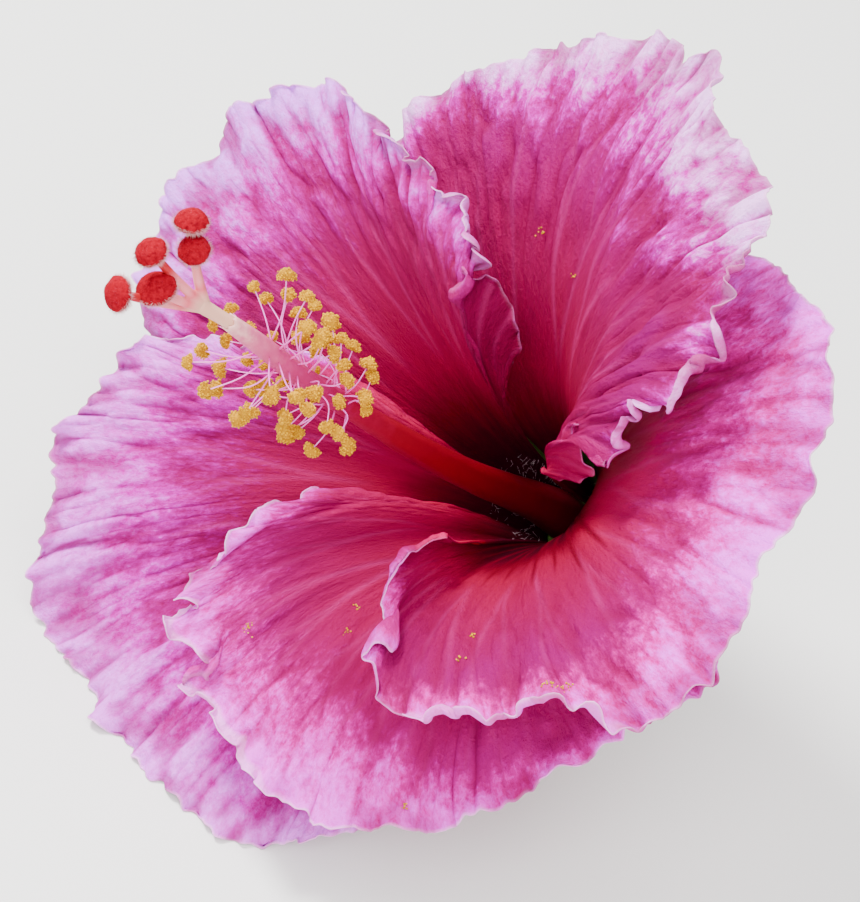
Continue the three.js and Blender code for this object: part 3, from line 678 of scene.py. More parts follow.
def buildPetal(name, petal, form, material):
    seed = petal["seed"]
    rows, t, v, length, toEdge = petalSurface(petal, form)
    edgeRun = runAlong(rows[:, -1])[:, None]
    free = smoothStep(0.0, 0.12, t)[:, None]  # the side under the neighbour stays calm
    normals = surfaceNormals(rows)
    vein = veinField(rows, t, v, seed)
    # broad folds along the ribs, then creases and puckers that deepen towards the edge, and sunk veins
    across, up = edgeRun, v[None, :]
    height, apart, number = form["sway"]
    bent = across + height * noise2(seed + 12, across / apart, up * number)
    height, apart, number = form["folds"]
    folds = height * noise2(seed, bent / apart, up * number) * smoothStep(*form["foldsGrow"], up)
    creased = 0
    for k, (height, apart, number) in enumerate(form["creases"]):
        crease = 1 - np.abs(noise2(seed + 1 + k, bent / apart + 3 * k, up * number)) / form["creaseWidth"]
        creased = creased - height * np.clip(crease, 0, 1) ** 1.5
    puckered = sum(height * noise2(seed + 15 + k, bent / apart, up * number)
                   for k, (height, apart, number) in enumerate(form["puckers"]))
    wide = np.linalg.norm(np.gradient(rows, axis=0), axis=2)
    crinkle = fromTable(petal["crinkle"], t)[:, None] * smoothStep(*form["creasesGrow"], up)
    creased = (creased + puckered) * crinkle * np.clip(wide / wide[:, -1:], 0, 1) ** 1.3
    # 0 in the bottom of a crease, 1 on a crest; the tissue paints shade and a highlight from it
    relief = 0.5 + 0.5 * np.tanh(creased / 0.5)
    ripple = sum(height * noise2(wave, across / apart, 0.5) * np.exp(-toEdge / reach)
                 for wave, (height, apart, reach) in zip((seed + 3, seed + 4, seed + 17), form["ripples"]))
    rows = rows + normals * ((folds + creased + ripple) * free - form["veinDepth"] * vein)[..., None]
    outward = unit(eased(unit(rows[:, -1] - rows[:, -4]), 3))
    teeth = waves(seed + 13, edgeRun, form["teeth"]) * np.exp(-toEdge / form["teethReach"])
    rows = rows + outward[:, None] * teeth[..., None]
    strip, stripToEdge, width = frillRows(rows, t, edgeRun, petal, form)
    rows = np.concatenate([rows, strip], 1)
    low = np.clip(form["rest"] - rows @ turnArray[2] - receptacle[2], 0, None)
    rows = rows + low[..., None] * turnArray[2]  # the rim rests on the surface
    toEdge = np.concatenate([toEdge + width, stripToEdge], 1)
    extra = strip.shape[1]
    vein = np.concatenate([vein, np.zeros((len(t), extra))], 1)
    relief = np.concatenate([relief, relief[:, -1:].repeat(extra, 1)], 1)
    along = v[None, :] * length
    along = np.concatenate([along, along[:, -1:] + width - stripToEdge], 1)
    normals = surfaceNormals(rows)
    thin, reach = form["edgeThinness"]
    thick = form["thickness"] * (thin + (1 - thin) * smoothStep(0, reach, toEdge))[..., None]
    front, behind = rows + normals * thick / 2, rows - normals * thick / 2
    ribs, columns = rows.shape[:2]
    count = ribs * columns
    order = np.arange(count).reshape(ribs, columns)
    border = np.concatenate([order[:-1, 0], order[-1, :-1], order[:0:-1, -1], order[0, :0:-1]])
    after = np.roll(border, -1)
    faces = np.vstack([gridFaces(ribs, columns), gridFaces(ribs, columns, count, True),
                       np.stack([border, border + count, after + count, after], 1)])
    points = np.vstack([front.reshape(-1, 3), behind.reshape(-1, 3)])
    piece = makePiece(name.replace("petal", "petalSkin"), points, faces, material, name)
    paleWidth = fromTable(petal["pale"], t)[:, None]
    pale = (1 - toEdge / (paleWidth + width)) * (0.6 + 0.4 * smoothStep(0, 8, paleWidth))
    pale = pale - 1.4 * np.clip(1 - paleWidth / 1.5, 0, 1)
    coreStart = fromTable(petal["coreStart"], t)[:, None]
    core = np.clip((along - coreStart) / (petal["coreEnd"] - coreStart), 0, 1)
    rim = np.clip(paleWidth / 4, 0.1, 0.9)
    lace = 0.6 * fromTable(petal["lace"], t)[:, None] * smoothStep(0, 0.9, width - toEdge)
    fields = {
        "core": core,
        "pale": np.clip(pale, -1, 1) * 0.5 + 0.25,
        "vein": vein,
        "streak": flameField(petal, t, along),
        "edge": np.maximum(np.clip(1 - toEdge / 0.5, 0, 1) * rim, lace),
        "relief": relief,
    }
    for key, field in fields.items():  # the same on both faces
        addValues(piece, key, np.tile(np.broadcast_to(field, rows.shape[:2]).ravel(), 2))
    # the front's red scaled by depth and the back's by behind: painted light and shade
    depths = [fromTable(petal[key], t)[:, None].repeat(columns, 1).ravel()
              for key in ("depth", "behind" if "behind" in petal else "depth")]
    addValues(piece, "depth", np.concatenate(depths))
    addValues(piece, "back", np.repeat([0.0, 1.0], count))
    ribPlace = np.stack(np.broadcast_arrays(t[:, None] * edgeRun[-1] + seed * 7.0, along), -1).reshape(-1, 2)
    ribPlace = np.vstack([ribPlace, ribPlace])
    corners = np.empty(len(piece.data.loops), int)
    piece.data.loops.foreach_get("vertex_index", corners)
    layer = piece.data.uv_layers.new(name="ribs")
    layer.data.foreach_set("uv", ribPlace[corners].ravel())
    return front, normals, length[:, 0]


flameForm = {
    "between": (0.44, 0.94),  # shares across the petal
    "reach": [(0.35, 56), (0.6, 54), (0.8, 44)],  # mm along the petal, by the place across it
    "unevenness": (0.82, 1.02),
    "widths": (0.0018, 0.022),  # at the tip, and added to it in the eye, shares of the petal's width
    "wander": (0.006, 8),  # how far to the side, and over which length in mm
    "fade": 0.85,  # share of the reach from which it fades
}


def flameField(petal, t, along):  # short dark streaks that run out of the eye
    field = np.zeros(along.shape)
    draw = np.random.RandomState(petal["seed"] + 70)
    flames = petal.get("flames", 0)
    for k in range(flames):
        middle = np.interp((k + draw.uniform(0.2, 0.8)) / flames, (0, 1), flameForm["between"])
        reach = draw.uniform(*flameForm["unevenness"]) * fromTable(flameForm["reach"], middle)
        width = flameForm["widths"][1] * np.clip(1 - along / reach, 0, 1) + flameForm["widths"][0]
        wander = waves(petal["seed"] + 80 + k, along, [flameForm["wander"]])
        streak = np.exp(-((t[:, None] - middle - wander) / width) ** 2)
        field = np.maximum(field, 0.9 * streak * (1 - smoothStep(flameForm["fade"] * reach, reach, along)))
    return field


skins = {}
for petalName, petal in petals.items():
    tissue = petalTissue(petalName.replace("_", " ") + " tissue", petal)
    skins[petalName] = buildPetal(petalName, petal, petalForm, tissue)
print("petals built")

# hairs of the throat and stray pollen on the petals

trimmings = {
    "hairs": 110,  # on each petal
    "hairReach": (3, 13),  # mm along the petal
    "hairLength": 1.2,
    "hairThickness": 0.028,
    "grains": 7,  # in each stray speck of pollen
    "grainRadius": 0.15,
    "spread": 0.4,
    # places of the specks: share across the petal, share along it
    "specks": {
        "petal_lower": [(0.571, 0.64), (0.643, 0.877), (0.648, 0.868), (0.543, 0.687), (0.379, 0.963)],
        "petal_right": [(0.636, 0.97), (0.629, 0.975), (0.621, 0.97), (0.614, 0.963), (0.714, 0.802),
                        (0.721, 0.877)],
        "petal_upper_right": [(0.4, 0.568), (0.3, 0.648)],
    },
}


def skinPlace(skin, t, share):  # point, outward direction and across direction on a petal's face
    front, normals, length = skin
    i = int(round(t * (len(front) - 1)))
    j = int(round(share ** (1 / petalForm["alongPower"]) * petalForm["along"]))
    return front[i, j], normals[i, j], unit(front[min(i + 1, len(front) - 1), j] - front[i - 1, j])


def buildThroatHairs(name, skin, material):
    draw = np.random.RandomState(61)
    hairs = Pile()
    for _ in range(trimmings["hairs"]):
        t = draw.uniform(0.08, 0.92)
        reach = draw.uniform(*trimmings["hairReach"]) / skin[2][int(t * (len(skin[2]) - 1))]
        point, away, _ = skinPlace(skin, t, reach)
        length = trimmings["hairLength"] * draw.uniform(0.5, 1.2)
        hair(hairs, point, away + draw.normal(0, 0.45, 3), length, trimmings["hairThickness"])
    hairs.piece(name.replace("petal", "throatHairs"), material, name, "petal")


def buildSpecks(name, skin, material):
    draw = np.random.RandomState(67)
    grainPoints, grainFaces = ball(1)
    specks = Pile()
    for t, share in trimmings["specks"][name]:
        point, away, across = skinPlace(skin, t, share)
        onward = np.cross(away, across)
        for _ in range(trimmings["grains"]):
            size = trimmings["grainRadius"] * draw.uniform(0.6, 1.2)
            spot = draw.normal(0, trimmings["spread"], 2)
            centre = point + across * spot[0] + onward * spot[1] + away * size * 0.6
            specks.add(grainPoints * size + centre, grainFaces, draw.uniform(0.3, 1))
    specks.piece(name.replace("petal", "pollenSpecks"), material, name, "pollen")


throatHair = hairSurface("throat hair", "#e0a8b8", "#fff0f4")
# dry crumbly pollen, golden with paler grains. Real grains are 0.15 mm: drawn coarser to show
pollen = tonedSurface("pollen", [(0.0, "#7c4c00"), (0.25, "#a06a00"), (0.6, "#c08a00"), (1.0, "#e4ac00")],
                      noises=[(2.6, 3.0, 0.5)], bump=(0.6, 0.1),
                      Roughness=0.9, IOR=1.45, Specular_IOR_Level=0.2)
for petalName, skin in skins.items():
    buildThroatHairs(petalName, skin, throatHair)
    if petalName in trimmings["specks"]:
        buildSpecks(petalName, skin, pollen)
print("throat hairs and stray pollen built")

# staminal column: tube, threads and anthers

column = {
    "line": [
        [0, 0, 1.85], [0, 0, 12], [-0.3, -1.2, 22], [0.1, -2.9, 34], [0.3, -3.8, 47], [-0.2, -3.6, 58],
        [-0.4, -3.5, 66], [-0.3, -3.3, 74], [0, -2.8, 81], [0.1, -2.5, 87.5]
    ],
    "radii": [(1.85, 3.4), (5, 3.6), (9, 3.4), (14, 2.9), (22, 2.5), (40, 2.0), (52, 1.75), (60, 1.5),
              (80, 1.32), (84, 1.2), (88, 1.02)],  # (height, radius)
    "boreRadii": [(1.85, 2.3691), (13, 0.95)],
    "leastWall": 0.22,
    "ridges": (5, 0.035),  # number, height as a share of the radius
    "sides": 40,
    "steps": 170,
    "teeth": 5,  # small teeth round the mouth
    "toothHeight": 0.5,
    # darkest at the foot: partly the tube's own red, partly painted shade deep in the throat
    "colours": [
        (0.0, "#2c0008"), (0.15, "#4c000a"), (0.35, "#640010"), (0.6, "#760016"), (0.7, "#8a002c"),
        (0.78, "#a00c54"), (0.88, "#b0306c"), (0.96, "#c86084"), (1.0, "#e4a8a4")
    ],
}

stamens = {
    "count": 60,
    "seed": 41,
    "goldenAngle": 137.5,
    "turnUnevenness": 24,
    "heights": (62, 80.5),
    "rootDepth": 1.12,
    "lengths": (5.8, 9.2),  # from the lowest stamen to the highest
    "unevenness": (0.88, 1.12),
    "lean": (52, 80),
    "sideBows": (-1.3, 1.3),  # mm, how far a thread's middle bends to the side
    "endBows": (-0.9, 0.5),  # and along the column
    "threadRadii": (0.11475, 0.07225),  # at the root and at the tip
    "threadSteps": 10,
    "threadSides": 8,
    "threadColours": [(0.0, "#c02c84"), (0.3, "#e858bc"), (1.0, "#fc88dc")],
    "antherSize": (1.1, 0.8, 0.7),
    "antherGrowth": (0.82, 1.2),
    "antherBend": 0.35,
    "antherGroove": (0.16, 0.2),  # depth and width, shares of the anther
    "grains": 100,  # pollen grains on each anther
    "grainRadius": 0.13,
}

style = {
    "end": (-1.1, -1.6, 91.5),
    "radii": [(80, 0.6), (86, 0.76), (87.6, 0.84), (89, 0.86), (91.5, 0.95)],
    "sides": 28,
    "branchRadii": [(0, 0.66), (0.6, 0.561), (1, 0.528)],  # by the share of its length
    "branchSteps": 22,
    "branchSides": 20,
    "branchRoot": 1,
    "branchBow": 0.6,
    # angle, radius, height and size of each pad, then the way it faces
    "pads": [
        (46, 5.7, 100, 1.9, (0.57, 0.39, 0.73)),
        (29, 3.3, 98, 1.8, (0.54, -0.18, 0.82)),
        (333, 0.9, 103, 1.8, (0.35, 0.05, 0.93)),
        (240, 3.1, 99, 2.3, (0.39, 0.27, 0.88)),
        (241, 5.9, 104, 1.95, (-0.2, -0.28, 0.94)),
    ],
    "farBranch": 4,
    "farBow": (-1.6, 0.9, -1.9),  # the far branch bends behind the pad before it
    "padGrowth": 1.06,
    "padFlatness": 0.5,
    "padDome": 0.2,
    "padLumps": 0.05,  # this and the grain are shares of the radius
    "padGrain": 0.03,
    "voxel": 0.12,  # mm, of the skin that joins style and branches
    "colours": [(0.0, "#d09c88"), (0.1, "#d89088"), (0.24, "#d45c6c"), (0.4, "#e0848c"), (0.75, "#e07480"),
                (1.0, "#b81c28")],
    "velvetAndShadeColours": [(0.25, "#5c000e"), (0.5, "#8c0018"), (0.8, "#a20022")],
    "tuftsPerMm": 2.2,
    "hairs": 1300,  # on each pad
    "hairLength": 0.75,
    "hairDisorder": 0.22,
    "hairThickness": 0.028,
}

columnFine = lineThrough(column["line"], 1200)


def columnAt(height):  # centre and direction of the column at a height
    i = int(np.clip(np.searchsorted(columnFine[:, 2], height), 1, len(columnFine) - 2))
    before, here, after = columnFine[i - 1:i + 2]
    share = (height - before[2]) / (here[2] - before[2])
    return before + (here - before) * share, unit(after - before)


# waxy tissue of the joined filaments: red at the base, magenta, then pale pink at the mouth; the lowest
# part, deep in the throat, is darkened to maroon as painted shade
columnTissue = tonedSurface(
    "staminal tube tissue", column["colours"], noises=[(0.9, 4.0, 0.1)], bump=(0.3, 0.1),
    Roughness=0.42, IOR=1.42, Specular_IOR_Level=0.25,
    Subsurface_Weight=0.1, Subsurface_Radius=(1.0, 0.3, 0.35), Subsurface_Scale=1.2 * metre)

# thin glassy filaments, pale pink, that glow against the light
threadTissue = tonedSurface(
    "filament tissue", stamens["threadColours"], Roughness=0.4, IOR=1.4,
    Subsurface_Weight=0.35, Subsurface_Radius=(1.0, 0.5, 0.6), Subsurface_Scale=0.8 * metre)


def buildColumn():
    mouth = column["line"][-1][2]
    centres = lineThrough(column["line"], column["steps"])
    sides = column["sides"]
    angles = np.arange(sides) * 2 * math.pi / sides
    radii = fromTable(column["radii"], centres[:, 2])
    number, height = column["ridges"]
    ridges = (1 + height * np.cos(number * angles)[None, :]
              + 0.02 * noise2(5, centres[:, 2:] / 3, angles[None, :] * 2))
    outer = radii[:, None] * ridges
    points, faces = rod(centres, outer, sides, capped=False)
    rings = points.reshape(len(centres), sides, 3)
    ahead = columnAt(mouth)[1]
    tooth = np.abs((angles * column["teeth"] / (2 * math.pi)) % 1 * 2 - 1) ** 1.5 * column["toothHeight"]
    fade = smoothStep(mouth - 3, mouth, centres[:, 2])[:, None, None]
    rings = rings + fade * ahead * tooth[None, :, None]
    bore = np.minimum(radii - column["leastWall"], fromTable(column["boreRadii"], centres[:, 2]))
    inner, _ = rod(centres, bore, sides, capped=False)
    innerRings = inner.reshape(len(centres), sides, 3) + fade * ahead * tooth[None, :, None]
    allRings = np.concatenate([rings, innerRings[::-1]])
    faces = ringFaces(len(allRings), sides, joined=True)
    tube = makePiece("columnTube", allRings.reshape(-1, 3), faces, columnTissue, "staminal_column")
    addValues(tube, "tone", np.clip((allRings[..., 2] - 2) / (mouth - 2), 0, 1))


def buildStamens():
    draws = randomFrom(stamens["seed"])
    shape = np.random.RandomState(17)
    threads, anthers = Pile(), Pile()
    steps, sides = stamens["threadSteps"], stamens["threadSides"]
    bodyPoints, bodyFaces = ball(3)
    grainPoints, grainFaces = ball(1)
    for order in range(stamens["count"]):
        climb = (order + next(draws)) / stamens["count"]
        height = stamens["heights"][0] + climb * (stamens["heights"][1] - stamens["heights"][0])
        turned = order * stamens["goldenAngle"] + (next(draws) - 0.5) * stamens["turnUnevenness"]
        length = np.interp(climb, (0, 1), stamens["lengths"])
        length *= np.interp(next(draws), (0, 1), stamens["unevenness"])
        lean = math.radians(np.interp(next(draws), (0, 1), stamens["lean"]))
        roll = next(draws) * math.pi
        centre, ahead = columnAt(height)
        outward = around(turned, 1, 0)
        outward = unit(outward - ahead * (outward @ ahead))
        root = centre + outward * (stamens["rootDepth"] - 0.2)
        tip = (centre + outward * (stamens["rootDepth"] + length * math.sin(lean))
               + ahead * length * math.cos(lean))
        bow = np.cross(ahead, outward) * shape.uniform(*stamens["sideBows"])
        middle = (root + tip) / 2 + ahead * shape.uniform(*stamens["endBows"]) + bow
        path = lineThrough([root, middle, tip], steps)
        points, faces = rod(path, np.linspace(*stamens["threadRadii"], steps + 1), sides)
        threads.add(points, faces, np.repeat(np.linspace(0, 1, steps + 1), sides))
        # kidney-shaped anther, bent over the thread's end and split by a groove
        body = bodyPoints * stamens["antherSize"] * shape.uniform(*stamens["antherGrowth"])
        body[:, 2] -= stamens["antherBend"] * body[:, 0] ** 2
        x, y, z = bodyPoints.T[..., None]
        body = body * (1 + 0.1 * noise2(order + 90, x * 3 + 5, y * 3 + z * 2))
        deep, wide = stamens["antherGroove"]
        body = body * (1 - deep * np.exp(-(y / wide) ** 2) * (z > 0))
        pointing = facing(unit(tip - path[-3])) @ np.array(Matrix.Rotation(roll, 3, "Z"))
        anthers.add(tip + body @ pointing.T, bodyFaces, 0.35 + 0.15 * shape.rand())
        picks = shape.choice(len(bodyPoints), stamens["grains"], replace=False)
        for pick in picks:
            size = stamens["grainRadius"] * shape.uniform(0.7, 1.3)
            spot = body[pick] * shape.uniform(0.94, 1.18)
            anthers.add(tip + (grainPoints * size + spot) @ pointing.T, grainFaces, shape.uniform(0.4, 0.95))
    threads.piece("stamenThreads", threadTissue, "staminal_column", "column")
    anthers.piece("anthers", pollen, "staminal_column", "pollen")


buildColumn()
buildStamens()
print("column and stamens built")


# pistil: style, branches and velvety pads

# pale waxy tissue of the bare style and its branches, flushed pink along the branches
styleTissue = tonedSurface(
    "style tissue", style["colours"], Roughness=0.45, IOR=1.4,
    Subsurface_Weight=0.35, Subsurface_Radius=(1.0, 0.5, 0.5), Subsurface_Scale=1.0 * metre)


def velvetSurface():
    # stigma pad: a close velvet of red hairs, dull, with painted shade between them: the red darkens where
    # the same noise sinks the bump
    material, tree, shader = newSurface("stigma velvet", Roughness=0.85, IOR=1.4, Specular_IOR_Level=0.05)
    place = addNode(tree, "TexCoord", output="Object")
    noise = addNode(tree, "TexNoise", {"Vector": place, "Scale": style["tuftsPerMm"] / metre, "Detail": 4.0,
                                       "Roughness": 0.7})
    tint = addNode(tree, "ValToRGB", {0: noise}, stops=style["velvetAndShadeColours"])
    tree.links.new(tint, shader.inputs["Base Color"])
    bump = addNode(tree, "Bump", {"Height": noise, "Strength": 0.8, "Distance": 0.15 * metre})
    tree.links.new(bump, shader.inputs["Normal"])
    return material


def buildPistil():
    draw = np.random.RandomState(29)
    styles, pads, hairs = Pile(), Pile(), Pile()
    end = np.array(style["end"])
    mouth = column["line"][-1][2]
    mouthCentre = columnAt(mouth)[0]
    heights = np.append(np.linspace(style["radii"][0][0], mouth, 10), np.linspace(mouth + 0.5, end[2], 8))
    out = (heights - mouth) / (end[2] - mouth)  # share of the way from the column's mouth to the branches
    centres = [columnAt(height)[0] if share <= 0 else mouthCentre + (end - mouthCentre) * share
               for height, share in zip(heights, out)]
    points, faces = rod(centres, fromTable(style["radii"], heights), style["sides"])
    styles.add(points, faces)
    ballPoints, ballFaces = ball(5)
    x, y, z = ballPoints.T
    for order, (angle, radius, height, padRadius, padFacing) in enumerate(style["pads"]):
        to = around(angle, radius, height)
        middle = end + (to - end) * 0.5 - np.array(padFacing) * style["branchBow"]
        if order == style["farBranch"]:
            middle += style["farBow"]
        path = lineThrough([end - [0, 0, style["branchRoot"]], middle, to], style["branchSteps"])
        radii = fromTable(style["branchRadii"], np.linspace(0, 1, style["branchSteps"] + 1))
        styles.add(*rod(path, radii, style["branchSides"]))
        pointing = facing(unit(np.array(padFacing)))
        shape = ballPoints * [1, 1, style["padFlatness"]]
        shape[:, 2] += style["padDome"] * (1 - np.hypot(x, y) ** 2) * (z > 0)
        lump = 1 + style["padLumps"] * noise2(order + 40, x * 3 + 9, y * 3 + 4)
        grain = 1 + style["padGrain"] * noise2(order + 50, x * 16 + 9, y * 16 + z * 9)
        shape = shape * (style["padGrowth"] * padRadius * lump * grain)[:, None]
        pads.add(to + shape @ pointing.T, ballFaces)
        for k in range(style["hairs"]):
            onRim = k % 3 > 0
            a = draw.uniform(0, 2 * math.pi)
            rise = draw.uniform(-0.6, 0.15) if onRim else draw.uniform(0.1, 1)
            flat = math.sqrt(1 - rise * rise)
            direction = np.array([flat * math.cos(a), flat * math.sin(a), rise])
            squash = style["padFlatness"] + style["padDome"] * max(rise, 0)
            root = direction * padRadius * [1, 1, squash] * 0.97
            away = unit(direction * [1, 1, 1.6] + draw.normal(0, style["hairDisorder"], 3))
            length = style["hairLength"] * draw.uniform(0.5, 1.1) * (1 if onRim else 0.4)
            hair(hairs, to + pointing @ root, pointing @ away, length, style["hairThickness"],
                 0.9 if onRim else 0)
    points, faces = fused(np.vstack(styles.points), styles.faces, style["voxel"], 4)
    stylePiece = makePiece("styleAndBranches", points, faces, styleTissue, "pistil")
    along = np.clip(np.linalg.norm(points - end, axis=1) - 0.8, 0, None) / 7.2  # share of a branch's length
    along = along * smoothStep(end[2] - 0.5, end[2] + 1, points[:, 2])
    addValues(stylePiece, "tone", np.clip(along, 0, 1))
    pads.piece("stigmaPads", velvetSurface(), "pistil", "stigma")
    hairs.piece("stigmaHairs", hairSurface("stigma hair", "#9c0018", "#ffb4bc"), "pistil", "stigma")


buildPistil()
print("pistil built")


# calyx and stalk

calyx = {
    "thickness": 0.8,
    "floor": 1.5,
    "floorRadius": 6.6,
    "notch": 11,
    "tip": 24,
    "wallFoot": 2,
    "lobes": [32, 108, 180, 258, 332],
    "radii": [(0, 5.2), (2, 7.6), (6, 8.8), (10, 10.3), (14, 12.3), (18, 14.6), (22, 17.2), (25, 19.4)],
    # raised ribs as (place from a lobe's middle, 0, to the notch, 1, height in mm, width)
    "ridges": [(0, 0.16, 0.1), (0.42, 0.1, 0.08), (1, 0.12, 0.08)],
    "colours": [(0.0, "#3f5f22"), (0.4, "#5d8433"), (0.7, "#7fa246"), (1.0, "#a9bf6a")],
    "stepsPerLobe": 40,
    "rows": 60,
}

stalk = {
    "line": [[8.2, 14.8, -37], [5.2, 11, -31], [2.2, 6, -23], [0.6, 2, -15], [0, 0, -8]],
    "radius": 1.4,
    "joint": 0.72,  # share of the line at the swollen ring where a flower drops
    "receptacle": [(-8, 1.6), (-5, 2.2), (-2.5, 3.6), (-0.35, 4.6)],
    "bracts": 7,
    "firstBract": 12,
    "bractLine": [[3.2, -2], [7.2, -1.5], [10, 1.8], [12, 6.5], [14, 11]],
    "bractWidths": (1.5, 1.25, 1.15, 0.8, 0.15),
    "bractThickness": 0.7,
    "bractSteps": 28,
    "bractSides": 12,
    "hairs": 1500,
    "hairLengths": (0.25, 0.5),
    "hairThickness": 0.02,
    "hairClearance": 0.7,  # mm over the surface, below it the stalk is left bare
}


def buildCalyx(material):
    lobes = np.array(calyx["lobes"], float)
    before, after = np.append(lobes[-1] - 360, lobes[:-1]), np.append(lobes[1:], lobes[0] + 360)
    share = np.arange(calyx["stepsPerLobe"]) / calyx["stepsPerLobe"]
    angles = np.concatenate([fromTable([(0, start), (0.5, lobe), (1, stop)], share)
                             for start, lobe, stop in zip((before + lobes) / 2, lobes, (lobes + after) / 2)])
    ribs = np.tile(np.abs(share * 2 - 1), len(lobes))  # 0 on a lobe's middle, 1 at a notch
    edges = calyx["tip"] + (calyx["notch"] - calyx["tip"]) * ribs ** 0.8
    share = np.linspace(0, 1, calyx["rows"] + 1)[:, None]
    height = calyx["wallFoot"] + (edges[None, :] - calyx["wallFoot"]) * share
    radius = fromTable(calyx["radii"], height)
    ridge = sum(tall * np.exp(-((ribs - place) / wide) ** 2) for place, tall, wide in calyx["ridges"])
    ridge = ridge[None, :] * (1 - 0.5 * share) + 0.08 * noise2(71, angles[None, :] / 6, height / 2)
    taper = 1 - 0.6 * smoothStep(0.85, 1, share)
    outside = around(angles[None, :], radius + taper * calyx["thickness"] / 2 + ridge * 0.7, height)
    inside = around(angles[None, :], radius - taper * calyx["thickness"] / 2, height)
    under = around(angles[None, :], np.linspace(0.5, calyx["radii"][0][1], 8)[:, None], 0.0)
    over = around(angles[None, :], np.linspace(calyx["floorRadius"], 0.5, 8)[:, None], calyx["floor"])
    allRings = np.concatenate([under, outside, inside[::-1], over])
    faces = ringFaces(len(allRings), len(angles), capped=True)
    piece = makePiece("calyxCup", allRings.reshape(-1, 3), faces, material, "calyx")
    rib = 0.3 * np.exp(-(ribs / 0.12) ** 2) + 0.15 * np.exp(-((1 - ribs) / 0.1) ** 2)
    tone = np.broadcast_to(0.3 + rib[None, :] + 0.02 * (allRings[..., 2] - 8), allRings.shape[:2])
    addValues(piece, "tone", np.clip(tone, 0, 1))


def buildStalk(material):
    draw = np.random.RandomState(31)
    pile, hairs = Pile(), Pile()
    centres = lineThrough(stalk["line"], 60)
    run = np.linspace(0, 1, 61)
    radii = stalk["radius"] * (1 + 0.1 * np.exp(-((run - stalk["joint"]) / 0.02) ** 2))
    top = np.linspace(stalk["receptacle"][0][0] + 0.2, stalk["receptacle"][-1][0], 20)
    centres = np.vstack([centres, np.column_stack([0 * top, 0 * top, top])])
    radii = np.concatenate([radii, fromTable(stalk["receptacle"], top)])
    points, faces = rod(centres, radii, 32)
    pile.add(points, faces, 0.35)
    steps, sides = stalk["bractSteps"], stalk["bractSides"]
    run, angles = np.linspace(0, 1, steps + 1), np.arange(sides) * 2 * math.pi / sides
    width = np.interp(run, np.linspace(0, 1, 5), stalk["bractWidths"])[:, None]
    keel = fromTable([(0, 0.5), (0.8, 0.4), (1, 0.15)], run)[:, None] * stalk["bractThickness"]
    for k in range(stalk["bracts"]):
        angle = stalk["firstBract"] + k * 360 / stalk["bracts"]
        line = lineThrough([around(angle, radius, height) for radius, height in stalk["bractLine"]], steps)
        across = around(angle + 90, 1, 0)
        ahead = unit(np.gradient(line, axis=0))
        upward = unit(np.cross(ahead, across))
        rings = hoops(line, angles, width, keel, across, upward[:, None])
        pile.add(rings.reshape(-1, 3), ringFaces(steps + 1, sides, capped=True), 0.4)
    pile.piece("stalkAndBracts", material, "stalk", "green")
    for _ in range(stalk["hairs"]):
        i = draw.randint(0, len(centres) - 1)
        ahead = unit(centres[i + 1] - centres[i])
        side = unit(np.cross(ahead, draw.normal(0, 1, 3)))
        if (centres[i] + side * radii[i]) @ turnArray[2] + receptacle[2] < stalk["hairClearance"]:
            continue
        hair(hairs, centres[i] + side * radii[i] * 0.98, side + 0.5 * ahead,
             draw.uniform(*stalk["hairLengths"]), stalk["hairThickness"])
    hairs.piece("stalkHairs", hairSurface("green hair", "#a9bf7a", "#eef2dc"), "stalk", "green")


# fine-haired green tissue of calyx and stalk: satin, paler along the ribs
green = tonedSurface(
    "calyx tissue", calyx["colours"], noises=[(0.16, 4.0, 0.5), (1.8, 3.0, 0.25)], bump=(0.4, 0.1),
    Roughness=0.5, IOR=1.42, Subsurface_Weight=0.15, Subsurface_Radius=(0.4, 0.8, 0.2),
    Subsurface_Scale=1.0 * metre)
buildCalyx(green)
buildStalk(green)
print("calyx and stalk built")


# floor, light and camera

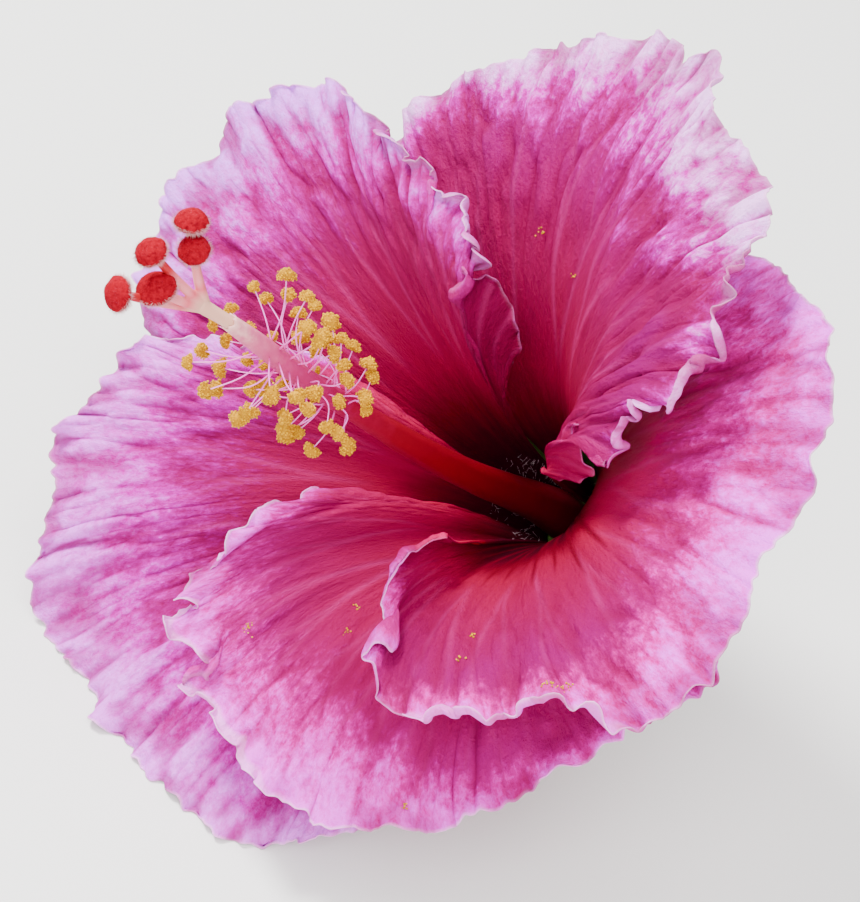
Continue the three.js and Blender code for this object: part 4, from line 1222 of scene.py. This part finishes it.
studio = {
    "floor": "#ecebe8",
    "camera": (1.81, -204.05, 241.56),  # mm
    "forward": (0.0, 0.716, -0.698),
    "up": (-0.1822, 0.6864, 0.704),
    "lens": 81.8,  # mm, on a 36 mm sensor
    "aim": (0, 0, 0.04),  # m, where every light points
    # name, place and width in m, watts
    "lights": [
        ("key light", (-0.34, 0.24, 0.68), 0.2, 14), ("fill light", (0.5, -0.42, 0.55), 0.5, 3.5),
        ("front light", (-0.1, -0.5, 0.6), 0.5, 6.5), ("top light", (0.1, -0.12, 0.75), 0.4, 3)
    ],
    "room": ("#eef0f4", 0.8),
}


def areaLight(name, place, size, watts):
    light = bpy.data.lights.new(name, "AREA")
    light.shape, light.size, light.energy = "DISK", size, watts
    lamp = bpy.data.objects.new(name, light)
    lamp.location = place
    lamp.rotation_euler = (Vector(studio["aim"]) - Vector(place)).to_track_quat("-Z", "Y").to_euler()
    bpy.context.scene.collection.objects.link(lamp)


floorMesh = bpy.data.meshes.new("floor")
floorMesh.from_pydata([(-3, -3, 0), (3, -3, 0), (3, 3, 0), (-3, 3, 0)], [], [(0, 1, 2, 3)])
floor = bpy.data.objects.new("floor", floorMesh)
bpy.context.scene.collection.objects.link(floor)
# matt painted studio floor, almost without shine
paint, _, _ = newSurface("pale studio floor", Roughness=0.7, Base_Color=colour(studio["floor"]))
floorMesh.materials.append(paint)

for light in studio["lights"]:
    areaLight(*light)
world = bpy.data.worlds.new("soft room")
world.use_nodes = True
tint, strength = studio["room"]
background = world.node_tree.nodes["Background"]
background.inputs[0].default_value, background.inputs[1].default_value = colour(tint), strength
bpy.context.scene.world = world

cameraData = bpy.data.cameras.new("camera")
cameraData.lens, cameraData.sensor_width, cameraData.clip_start = studio["lens"], 36, 0.01
camera = bpy.data.objects.new("camera", cameraData)
forward = Vector(studio["forward"]).normalized()
right = forward.cross(Vector(studio["up"])).normalized()
facingTurn = Matrix((right, right.cross(forward), -forward)).transposed()
camera.matrix_world = Matrix.Translation(Vector(studio["camera"]) * metre) @ facingTurn.to_4x4()
bpy.context.scene.collection.objects.link(camera)
bpy.context.scene.camera = camera
print("studio ready")
